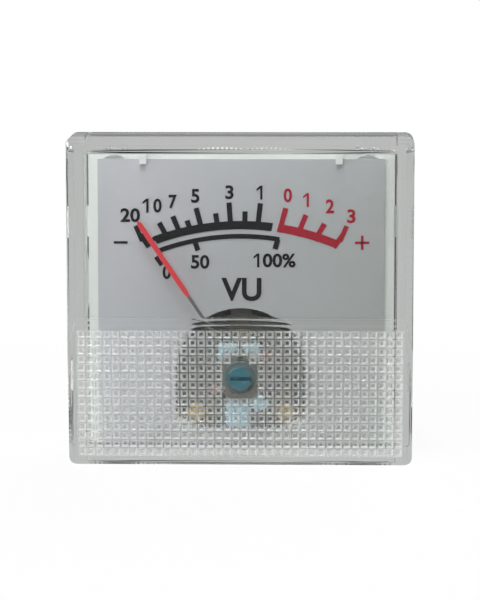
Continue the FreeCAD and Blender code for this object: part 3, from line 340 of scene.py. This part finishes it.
SHARP_EDGE = 30
FLAT_TURN = 4
FLAT_RATIO = 10
DARKENED = ("front_bridge", "front_bridge_screws", "front_posts")


def from_node(node):
    """A copy of a CAD piece's mesh, merged, with its flat faces whole again."""
    shape = bmesh.new()
    shape.from_mesh(frame["nodes"][node].data)
    bmesh.ops.remove_doubles(shape, verts=shape.verts, dist=0.001 * MM)
    bmesh.ops.dissolve_limit(shape, angle_limit=math.radians(0.5), verts=shape.verts, edges=shape.edges)
    return shape


def soften(shape, width, segments=2):
    """Rounds every sharp edge."""
    edges = [edge for edge in shape.edges if edge.calc_face_angle(0) > math.radians(SHARP_EDGE)]
    bmesh.ops.bevel(shape, geom=edges, offset=width * MM, offset_type="OFFSET", segments=segments,
                    profile=0.5, affect="EDGES", clamp_overlap=True, material=-1)
    bmesh.ops.remove_doubles(shape, verts=shape.verts, dist=0.0005 * MM)


def crisp(edge, angle):
    """Says whether an edge stays sharp: at a corner, and where a large flat face meets a narrow one."""
    turn = math.degrees(edge.calc_face_angle(math.pi))
    areas = sorted(face.calc_area() for face in edge.link_faces)
    return turn > angle or (turn > FLAT_TURN and areas[0] * FLAT_RATIO < areas[-1])


def finished(shape, name, slot, body, angle=40):
    """Makes a shape a piece of the meter: smooth up to an angle, with its material, on its body."""
    for face in shape.faces:
        face.smooth = True
    for edge in shape.edges:
        edge.smooth = not crisp(edge, angle)
    mesh = bpy.data.meshes.new(name)
    shape.to_mesh(mesh)
    shape.free()
    mesh.materials.append(MATERIALS[slot])
    piece = bpy.data.objects.new(name, mesh)
    bpy.context.scene.collection.objects.link(piece)
    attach(piece, body)
    return piece


def dressed(node, width, segments=2):
    """Stands for a CAD piece with a copy whose edges are rounded and whose round faces are smooth."""
    shape = from_node(node)
    soften(shape, width, segments)
    piece = finished(shape, node + "_finished", NODE_SLOT[node], NODE_BODY[node])
    if node in DARKENED:
        piece.data.materials[0] = MATERIALS["dark_bridge_metal"]
    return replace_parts(piece, node)


# Clear cover with its pressed panel, ribbed step and notched rear rim

STEP_CUTS = 12
STEP_DEEP = 0.13
STEP_TOP = -1.93
STEP_LOW = -3.48
STEP_SIDE = 22.4
STEP_NORMAL = Vector((0, -0.970, -0.243))
NOTCH = 0.3
NOTCH_DEEP = 0.1
RIM_X = 20.35
RIM_Z = 19.45

CELLS_ACROSS = 38
CELLS_DOWN = 15
CELL_STEPS = ((0.06, 0.0), (0.05, -0.02), (0.09, -0.09), (0.09, -0.07), (0.06, -0.02))
BORDER = 0.10
ADJUSTER_CLEAR = 2.05
PRESSED_FLAT = 1
PRESSED_SLOPE = 2


def pressed_panel(shape):
    """Puts a grid of square dimples in place of the sloping panel's plain face."""
    plain = [face for face in shape.faces if face.normal.y < -0.99 and face.normal.z < -0.05]
    slope = max(plain, key=lambda face: face.calc_area()).normal.copy()
    plain = [face for face in plain if (face.normal - slope).length < 0.01]
    corners = [vert.co.copy() for face in plain for vert in face.verts]
    bmesh.ops.delete(shape, geom=plain, context="FACES")
    across = Vector((1, 0, 0))
    up = slope.cross(across)
    sides = [corner.x for corner in corners]
    heights = [corner.dot(up) for corner in corners]
    middle_x = (max(sides) + min(sides)) / 2
    wide = (max(sides) - min(sides)) / 2 - BORDER * MM
    tall = (max(heights) - min(heights)) / 2 - BORDER * MM
    middle = across * middle_x + up * (max(heights) + min(heights)) / 2 + slope * corners[0].dot(slope)
    turn = Matrix((across, up, slope)).transposed().to_4x4()
    place = Matrix.Translation(middle) @ turn @ Matrix.Diagonal((wide, tall, 1, 1))
    grid = bmesh.ops.create_grid(shape, x_segments=CELLS_ACROSS, y_segments=CELLS_DOWN, size=1, matrix=place)
    cells = list({face for vert in grid["verts"] for face in vert.link_faces})

    def clear_of_adjuster(face):
        nearest = min(math.hypot(vert.co.x - pivot.x, vert.co.z - pivot.z) for vert in face.verts)
        return nearest > ADJUSTER_CLEAR * MM

    inside = [face for face in cells if not clear_of_adjuster(face)]
    cells = [face for face in cells if clear_of_adjuster(face)]
    bmesh.ops.delete(shape, geom=inside, context="FACES")
    rim = [edge for edge in shape.edges if edge.is_boundary]
    filled = bmesh.ops.triangle_fill(shape, edges=rim, use_beauty=True, normal=slope)["geom"]
    for face in filled:
        if isinstance(face, bmesh.types.BMFace):
            face.material_index = PRESSED_FLAT
    for width, depth in CELL_STEPS:
        walls = bmesh.ops.inset_individual(shape, faces=cells, thickness=width * MM, depth=depth * MM,
                                           use_even_offset=True)
        for face in walls["faces"]:
            face.material_index = PRESSED_SLOPE if depth else PRESSED_FLAT
    for face in cells:
        face.material_index = PRESSED_FLAT


def cut(shape, faces, spot, normal):
    """Cuts some faces along a plane, and gives the points that lie on the cut."""
    around = {edge for face in faces for edge in face.edges} | {vert for face in faces for vert in face.verts}
    made = bmesh.ops.bisect_plane(shape, geom=list(faces) + list(around), plane_co=spot, plane_no=normal,
                                  dist=0.0001 * MM)
    return [item for item in made["geom_cut"] if isinstance(item, bmesh.types.BMVert)]


def ribbed_step(shape):
    """Sinks two shallow hollows into the step between the window and the pressed panel."""
    def on_step():
        return [face for face in shape.faces if (face.normal - STEP_NORMAL).length < 0.02
                and max(vert.co.z for vert in face.verts) > (STEP_LOW - 0.2) * MM]

    lines = [STEP_TOP + (STEP_LOW - STEP_TOP) * line / STEP_CUTS for line in range(1, STEP_CUTS)]
    for line in lines:
        cut(shape, on_step(), Vector((0, 0, line * MM)), Vector((0, 0, 1)))
    sunk = {vert for face in on_step() for vert in face.verts
            if STEP_LOW * MM < vert.co.z < STEP_TOP * MM and abs(vert.co.x) < STEP_SIDE * MM}
    for vert in sunk:
        share = (vert.co.z / MM - STEP_TOP) / (STEP_LOW - STEP_TOP)
        vert.co -= STEP_NORMAL * STEP_DEEP * MM * abs(math.sin(2 * math.pi * share))


def notched_rim(shape):
    """Cuts fine upright notches into the rim that rests on the panel."""
    def strips(axis, other, reach, edge):
        found = []
        for face in shape.faces:
            middle = face.calc_center_median()
            if face.normal.y > 0.99 and abs(middle.y) < 0.01 * MM:
                if abs(middle[axis]) < reach * MM and abs(middle[other]) > edge * MM:
                    found.append(face)
        return found

    for normal, reach in ((Vector((1, 0, 0)), RIM_X), (Vector((0, 0, 1)), RIM_Z)):
        for side in (-1, 1):
            cut(shape, strips(0, 2, RIM_X + RIM_Z, 0), normal * reach * side * MM, normal)
    moved = set()
    for axis, other, reach, edge in ((0, 2, RIM_X, RIM_Z), (2, 0, RIM_Z, RIM_X)):
        count = int(2 * reach / NOTCH)
        normal = Vector((0, 0, 0))
        normal[axis] = 1
        for line in range(1, count):
            place = normal * (line * 2 * reach / count - reach) * MM
            points = cut(shape, strips(axis, other, reach, edge), place, normal)
            if line % 2:
                moved.update(points)
    for point in moved:
        point.co.y -= NOTCH_DEEP * MM
    bmesh.ops.triangulate(shape, faces=list({face for point in moved for face in point.link_faces}))


def cover_shell():
    shape = from_node("front_cover")
    soften(shape, 0.12, 2)
    notched_rim(shape)
    ribbed_step(shape)
    pressed_panel(shape)
    bmesh.ops.recalc_face_normals(shape, faces=shape.faces)
    piece = finished(shape, "cover_shell", "clear_acrylic", "meter", 30)
    piece.data.materials.append(MATERIALS["pressed_acrylic"])
    piece.data.materials.append(MATERIALS["pressed_slopes"])
    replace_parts(piece, "front_cover")


cover_shell()


# Numbers, signs and the unit mark on the dial

dial_low, dial_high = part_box("dial_plate")
INK_THICK = 0.04
INK_MIDDLE = dial_low.y - INK_THICK * MM / 2
STROKE_GAIN = 0.028
DIGIT_TALL = 1.82
DIGIT_WIDE = 1.08
DIAL_SHARE = 0.988
UNIT_MARK = 1.17
BLACK_MARKS = (
    ("20", -14.63, 10.99, DIGIT_TALL, 2.56),
    ("0", -11.02, 12.26, DIGIT_TALL, DIGIT_WIDE),
    ("7", -9.0, 12.78, DIGIT_TALL, DIGIT_WIDE),
    ("5", -6.03, 13.55, DIGIT_TALL, DIGIT_WIDE),
    ("3", -1.52, 14.04, DIGIT_TALL, DIGIT_WIDE),
    ("0", -9.82, 3.44, DIGIT_TALL, DIGIT_WIDE),
    ("50", -5.4, 4.82, DIGIT_TALL, 2.4),
    ("00%", 5.05, 5.03, DIGIT_TALL, 4.3),
    ("VU", 0.05, 1.17, 3.05, 5.24),
)
RED_MARKS = (
    ("0", 6.17, 13.64, DIGIT_TALL, DIGIT_WIDE),
    ("2", 11.72, 12.21, DIGIT_TALL, DIGIT_WIDE),
    ("3", 14.54, 10.9, DIGIT_TALL, DIGIT_WIDE),
)
BLACK_ONES = ((-12.35, 12.26), (2.68, 14.0), (2.28, 5.03))
RED_ONES = ((8.80, 13.03),)
ONE_STEM = 0.30
FLAG_REACH = 0.62
FLAG_DROP = 0.42
FLAG_FOOT = 0.68
FLAG_JOIN = 0.36
MINUS_SIGN = (-15.91, 7.38)
MINUS_WIDE = 1.82
PLUS_SIGN = (15.99, 7.4)
PLUS_WIDE = 1.85
SIGN_LINE = 0.33
ARC_CENTRE = -22.9
END_ANGLE = 23.0
END_START = 33.0
END_REACH = 35.2
END_WIDE = 0.62


def on_dial(x, z):
    """A measured place carried over to the dial, which lies a little behind the plane it was read in."""
    return x * DIAL_SHARE, UNIT_MARK + (z - UNIT_MARK) * DIAL_SHARE


def lettering(shape, words, x, z, tall, wide):
    """Adds flat upright words to a shape, centred at a place on the dial and scaled to a size."""
    x, z = on_dial(x, z)
    curve = bpy.data.curves.new("lettering", "FONT")
    curve.body = words
    curve.extrude = 0.5
    curve.offset = STROKE_GAIN
    curve.resolution_u = 6
    flat = bpy.data.objects.new("lettering", curve)
    bpy.context.scene.collection.objects.link(flat)
    bpy.context.view_layer.update()
    mesh = bpy.data.meshes.new_from_object(flat.evaluated_get(bpy.context.evaluated_depsgraph_get()))
    bpy.data.objects.remove(flat)
    spots = [vert.co for vert in mesh.vertices]
    low = Vector([min(spot[axis] for spot in spots) for axis in range(3)])
    high = Vector([max(spot[axis] for spot in spots) for axis in range(3)])
    size = high - low
    place = Matrix.Translation((x * MM, INK_MIDDLE, z * MM)) @ Matrix.Rotation(math.radians(90), 4, "X")
    scale = Matrix.Diagonal((wide * MM / size.x, tall * MM / size.y, INK_THICK * MM / size.z, 1))
    mesh.transform(place @ scale @ Matrix.Translation(-(low + high) / 2))
    shape.from_mesh(mesh)
    bpy.data.meshes.remove(mesh)


def bar(shape, x, z, wide, tall):
    x, z = on_dial(x, z)
    size = Matrix.Diagonal((wide * MM, INK_THICK * MM, tall * MM, 1))
    place = Matrix.Translation((x * MM, INK_MIDDLE, z * MM))
    bmesh.ops.create_cube(shape, size=1, matrix=place @ size)


def end_tick(shape, side):
    """Lengthens the last tick of a band outward to the long ticks' reach."""
    turn = Matrix.Rotation(math.radians(END_ANGLE * side), 4, "Y")
    size = Matrix.Diagonal((END_WIDE * MM, INK_THICK * MM, (END_REACH - END_START) * MM, 1))
    spot = Matrix.Translation((0, INK_MIDDLE, (END_REACH + END_START) / 2 * MM))
    centre = Matrix.Translation((0, 0, ARC_CENTRE * MM))
    bmesh.ops.create_cube(shape, size=1, matrix=centre @ turn @ spot @ size)


def figure_one(shape, x, z):
    """The figure 1: an upright stem with a short slanting flag at its top left."""
    bar(shape, x, z, ONE_STEM, DIGIT_TALL)
    x, z = on_dial(x, z)
    top = z + DIGIT_TALL / 2
    flag = ((-ONE_STEM / 2, top), (-FLAG_REACH, top - FLAG_DROP),
            (-FLAG_REACH, top - FLAG_FOOT), (-ONE_STEM / 2, top - FLAG_JOIN))
    front = dial_low.y - INK_THICK * MM
    points = [shape.verts.new(((x + side) * MM, front, up * MM)) for side, up in flag]
    made = shape.faces.new(points)
    raised = bmesh.ops.extrude_face_region(shape, geom=[made])["geom"]
    bmesh.ops.translate(shape, verts=[item for item in raised if isinstance(item, bmesh.types.BMVert)],
                        vec=(0, INK_THICK * MM, 0))
    bmesh.ops.recalc_face_normals(shape, faces=shape.faces)


def dial_marks():
    black = bmesh.new()
    end_tick(black, -1)
    for one in BLACK_ONES:
        figure_one(black, *one)
    for mark in BLACK_MARKS:
        lettering(black, *mark)
    bar(black, *MINUS_SIGN, MINUS_WIDE, SIGN_LINE)
    finished(black, "scale_numbers_black", "black_ink", "meter")
    red = bmesh.new()
    end_tick(red, 1)
    for one in RED_ONES:
        figure_one(red, *one)
    for mark in RED_MARKS:
        lettering(red, *mark)
    bar(red, *PLUS_SIGN, PLUS_WIDE, SIGN_LINE)
    bar(red, *PLUS_SIGN, SIGN_LINE, PLUS_WIDE)
    finished(red, "scale_numbers_red", "red_ink", "meter")


dial_marks()


# Screw threads of the mounting studs and terminals

THREAD_PITCH = 0.5
THREAD_CREST = 1.5
THREAD_ROOT = 1.2
THREAD_SIDES = 32
PITCH_ROWS = 6
STUD_THREAD = (3.0, 11.85)
TERMINAL_THREAD = (19.0, 28.85)
STUD_PLACE = 16.5
TERMINAL_PLACE = 7.5
TERMINAL_HIGH = 5.0
STUDS = [(x, z) for x in (-STUD_PLACE, STUD_PLACE) for z in (-STUD_PLACE, STUD_PLACE)]
TERMINALS = [(-TERMINAL_PLACE, TERMINAL_HIGH), (TERMINAL_PLACE, TERMINAL_HIGH)]


def add_thread(shape, x, z, start, end):
    """Adds the spiral ridge of a screw thread round an upright of the back."""
    rows = int((end - start) / THREAD_PITCH * PITCH_ROWS)
    rings = []
    for row in range(rows + 1):
        depth = start + (end - start) * row / rows
        taper = min(1, (rows - row) / PITCH_ROWS, row / PITCH_ROWS)
        ring = []
        for side in range(THREAD_SIDES):
            turn = side / THREAD_SIDES
            place = (depth / THREAD_PITCH - turn) % 1
            height = 1 - abs(2 * place - 1)
            radius = THREAD_ROOT + (THREAD_CREST - THREAD_ROOT) * height * taper
            angle = 2 * math.pi * turn
            ring.append(shape.verts.new(((x + radius * math.cos(angle)) * MM, depth * MM,
                                         (z + radius * math.sin(angle)) * MM)))
        rings.append(ring)
    for first, second in zip(rings, rings[1:]):
        for side in range(THREAD_SIDES):
            after = (side + 1) % THREAD_SIDES
            shape.faces.new((first[side], second[side], second[after], first[after]))


def threaded(node, places, start, end):
    """A CAD piece's copy, with threads added where it is a plain rod."""
    shape = from_node(node)
    soften(shape, 0.06)
    for x, z in places:
        add_thread(shape, x, z, start, end)
    piece = finished(shape, node + "_threaded", NODE_SLOT[node], NODE_BODY[node], 50)
    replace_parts(piece, node)


# Rear case with its moulded rings and signs

MARK_TALL = 0.15
MARK_SIDE = 3.2
MARK_WIDE = 0.55
MARK_GAP = 2.2
BACK = 19.0
RING_ROUND = 4.2
RING_WIDE = 0.5
EJECTOR_MARKS = ((0, -12.5), (-12.5, -6.0), (12.5, -6.0))
EJECTOR_ROUND = 1.6
EJECTOR_INNER = 1.35


def raised_bar(shape, x, z, wide, tall):
    size = Matrix.Diagonal((wide * MM, 2 * MARK_TALL * MM, tall * MM, 1))
    bmesh.ops.create_cube(shape, size=1, matrix=Matrix.Translation((x * MM, BACK * MM, z * MM)) @ size)


def raised_ring(shape, x, z, outer, inner):
    """A low ring moulded on the back, with sloping sides."""
    profile = ((outer + 0.1, 0), (outer, MARK_TALL), (inner, MARK_TALL), (inner - 0.1, 0))
    points = [shape.verts.new(((x + far) * MM, (BACK + up) * MM, z * MM)) for far, up in profile]
    edges = [shape.edges.new(pair) for pair in zip(points, points[1:])]
    bmesh.ops.spin(shape, geom=points + edges, cent=(x * MM, BACK * MM, z * MM), axis=(0, 1, 0),
                   angle=2 * math.pi, steps=48, use_merge=True)


def rear_moulding():
    """The rear case with moulded rings round its terminals, polarity signs and ejector marks."""
    shape = from_node("rear_case")
    soften(shape, 0.15, 3)
    for x, z in TERMINALS:
        raised_ring(shape, x, z, RING_ROUND, RING_ROUND - RING_WIDE)
        raised_bar(shape, x, z - RING_ROUND - MARK_GAP, MARK_SIDE, MARK_WIDE)
    raised_bar(shape, -TERMINAL_PLACE, TERMINAL_HIGH - RING_ROUND - MARK_GAP, MARK_WIDE, MARK_SIDE)
    for x, z in EJECTOR_MARKS:
        raised_ring(shape, x, z, EJECTOR_ROUND, EJECTOR_INNER)
    bmesh.ops.recalc_face_normals(shape, faces=shape.faces)
    piece = finished(shape, "rear_case_moulded", NODE_SLOT["rear_case"], "meter")
    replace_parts(piece, "rear_case")


threaded("mounting_studs", STUDS, *STUD_THREAD)
threaded("terminal_studs", TERMINALS, *TERMINAL_THREAD)
rear_moulding()


# Every other piece keeps its CAD shape, with its edges rounded where that shows

OWN = ("front_cover", "mounting_studs", "terminal_studs", "rear_case")
KEPT = ("scale_print_black", "scale_print_red", "front_hairspring", "rear_hairspring", "front_jewel",
        "rear_jewel", "adjuster_seal")
EDGE_WIDTH = {"dial_plate": 0.04, "pointer": 0.04, "movement_frame": 0.08,
              "yoke_ring": 0.08, "zero_lever": 0.06, "zero_adjuster": 0.06, "terminal_nuts": 0.12,
              "mounting_nuts": 0.12, "terminal_washers": 0.06, "mounting_washers": 0.06}
COMMON_EDGE = 0.04

for node in NODE_SLOT:
    if node in KEPT:
        frame["nodes"][node].material_slots[0].material = MATERIALS[NODE_SLOT[node]]
    elif node not in OWN:
        dressed(node, EDGE_WIDTH.get(node, COMMON_EDGE))


# Floor, backdrop, lights and camera

STAGE = 1.2
THROUGH_TONE = 0.52
FLOOR_TONE = 0.07
NEAR_TONE = 0.7
ROOM_TONE = 0.34
WORLD_DIMMER = 0.3
MIRROR_SPAN = (22, 60)
FADE_SPAN = (40, 160)
LAMPS = (
    ("key_lamp", (-230, -360, 260), 180, 0.28),
    ("top_lamp", (-20, -110, 330), 110, 0.70),
    ("left_lamp", (-330, -80, 10), 110, 0.70),
    ("fill_lamp", (260, -240, 60), 240, 0.10),
    ("rear_lamp", (120, 320, 260), 200, 0.5),
)


def seen_tone(add, link, light, through, reflected, start=0.0):
    """How bright a backdrop looks: 1 to the camera, less through clear plastic and in reflections."""
    plain = add("ShaderNodeMath", operation="SUBTRACT")
    link(light.outputs["Is Glossy Ray"], plain.inputs[0])
    link(light.outputs["Is Transmission Ray"], plain.inputs[1])
    only = add("ShaderNodeMath", operation="MAXIMUM")
    link(plain.outputs["Value"], only.inputs[0])
    only.inputs[1].default_value = 0.0
    if isinstance(reflected, (int, float)):
        even = add("ShaderNodeValue")
        even.outputs["Value"].default_value = reflected
        reflected = even.outputs["Value"]
    gloss = add("ShaderNodeMath", operation="MULTIPLY")
    link(only.outputs["Value"], gloss.inputs[0])
    link(reflected, gloss.inputs[1])
    total = fit_range(add, link, light.outputs["Is Camera Ray"], start, 1.0)
    for ray, tone in ((light.outputs["Is Transmission Ray"], through), (gloss.outputs["Value"], 1.0)):
        part = add("ShaderNodeMath", operation="MULTIPLY_ADD")
        link(ray, part.inputs[0])
        part.inputs[1].default_value = tone
        link(total, part.inputs[2])
        total = part.outputs["Value"]
    return total


def studio_white(name, near, far, reflected_near, reflected_far):
    """Paper white to the camera and through glass, dim in reflections, with the meter's shadow left in."""
    made, add, link, shader = start_material(name)
    grain = grain_node(add, 60.0, 8.0)
    link(colour_between(add, link, grain.outputs["Shade"], (0.84, 0.84, 0.84), (0.88, 0.88, 0.88)),
         shader.inputs["Base Color"])
    shader.inputs["Roughness"].default_value = 0.9
    glow = add("ShaderNodeEmission")
    light = add("ShaderNodeLightPath")
    seen = add("ShaderNodeMath", operation="MAXIMUM")
    link(light.outputs["Is Camera Ray"], seen.inputs[0])
    link(light.outputs["Is Transmission Ray"], seen.inputs[1])
    place = add("ShaderNodeTexCoord")
    away = add("ShaderNodeVectorMath", operation="LENGTH")
    link(place.outputs["Object"], away.inputs[0])
    mirror = ramp(add, link, away.outputs["Value"], *MIRROR_SPAN, reflected_near, reflected_far)
    link(seen_tone(add, link, light, THROUGH_TONE, mirror), glow.inputs["Strength"])
    part = add("ShaderNodeMath", operation="MULTIPLY")
    link(seen.outputs["Value"], part.inputs[0])
    link(ramp(add, link, away.outputs["Value"], *FADE_SPAN, near, far), part.inputs[1])
    whole = add("ShaderNodeMath", operation="MAXIMUM")
    link(part.outputs["Value"], whole.inputs[0])
    link(light.outputs["Is Glossy Ray"], whole.inputs[1])
    mix = add("ShaderNodeMixShader")
    link(whole.outputs["Value"], mix.inputs["Fac"])
    link(shader.outputs["BSDF"], mix.inputs[1])
    link(glow.outputs["Emission"], mix.inputs[2])
    link(mix.outputs["Shader"], made.node_tree.nodes["Material Output"].inputs["Surface"])
    return made


def stage_sheet(name, matrix, near, far, reflected_near, reflected_far):
    shape = bmesh.new()
    bmesh.ops.create_grid(shape, x_segments=1, y_segments=1, size=1, matrix=matrix)
    mesh = bpy.data.meshes.new(name)
    shape.to_mesh(mesh)
    shape.free()
    mesh.materials.append(studio_white(name, near, far, reflected_near, reflected_far))
    sheet = bpy.data.objects.new(name, mesh)
    bpy.context.scene.collection.objects.link(sheet)


stage_size = Matrix.Diagonal((STAGE, STAGE, 1, 1))
level = Matrix.Translation((0, 0, cad_low.z - 0.02 * MM))
upright = Matrix.Translation((0, STAGE, 0)) @ Matrix.Rotation(math.radians(90), 4, "X")
stage_sheet("floor", level @ stage_size, 0.9, 1.0, NEAR_TONE, FLOOR_TONE)
stage_sheet("backdrop", upright @ stage_size, 1.0, 1.0, ROOM_TONE, ROOM_TONE)


def soft_lamp(name, spot, size, power):
    """A square lamp that faces the middle of the meter's front."""
    lamp = bpy.data.lights.new(name, "AREA")
    lamp.shape = "SQUARE"
    lamp.size = size * MM
    lamp.energy = power
    holder = bpy.data.objects.new(name, lamp)
    bpy.context.scene.collection.objects.link(holder)
    holder.location = Vector(spot) * MM
    holder.rotation_euler = (-holder.location).to_track_quat("-Z", "Y").to_euler()
    holder.visible_transmission = False


def studio_world():
    """A dim even room round the stage."""
    world = bpy.data.worlds.new("studio")
    bpy.context.scene.world = world
    world.use_nodes = True
    add, link = joiner(world.node_tree)
    sky = world.node_tree.nodes["Background"]
    sky.inputs["Color"].default_value = (0.98, 0.99, 1, 1)
    light = add("ShaderNodeLightPath")
    tone = seen_tone(add, link, light, THROUGH_TONE - WORLD_DIMMER, ROOM_TONE - WORLD_DIMMER, WORLD_DIMMER)
    link(tone, sky.inputs["Strength"])


for lamp_row in LAMPS:
    soft_lamp(*lamp_row)
studio_world()

CAMERA_AZIMUTH = 1.5
CAMERA_ELEVATION = 6.3
CAMERA_DISTANCE = 285.0
CAMERA_AIM = Vector((0.05, -9.5, 0.52))
CAMERA_LENS = 133.8

camera = bpy.data.objects.new("camera", bpy.data.cameras.new("camera"))
bpy.context.scene.collection.objects.link(camera)
bpy.context.scene.camera = camera
azimuth = math.radians(CAMERA_AZIMUTH)
elevation = math.radians(CAMERA_ELEVATION)
away = Vector((math.sin(azimuth) * math.cos(elevation), -math.cos(azimuth) * math.cos(elevation),
               math.sin(elevation)))
camera.location = (CAMERA_AIM + away * CAMERA_DISTANCE) * MM
camera.rotation_euler = (-away).to_track_quat("-Z", "Y").to_euler()
camera.data.lens = CAMERA_LENS
camera.data.clip_start = 10 * MM
camera.data.clip_end = 10
bpy.context.scene.view_settings.view_transform = "Standard"
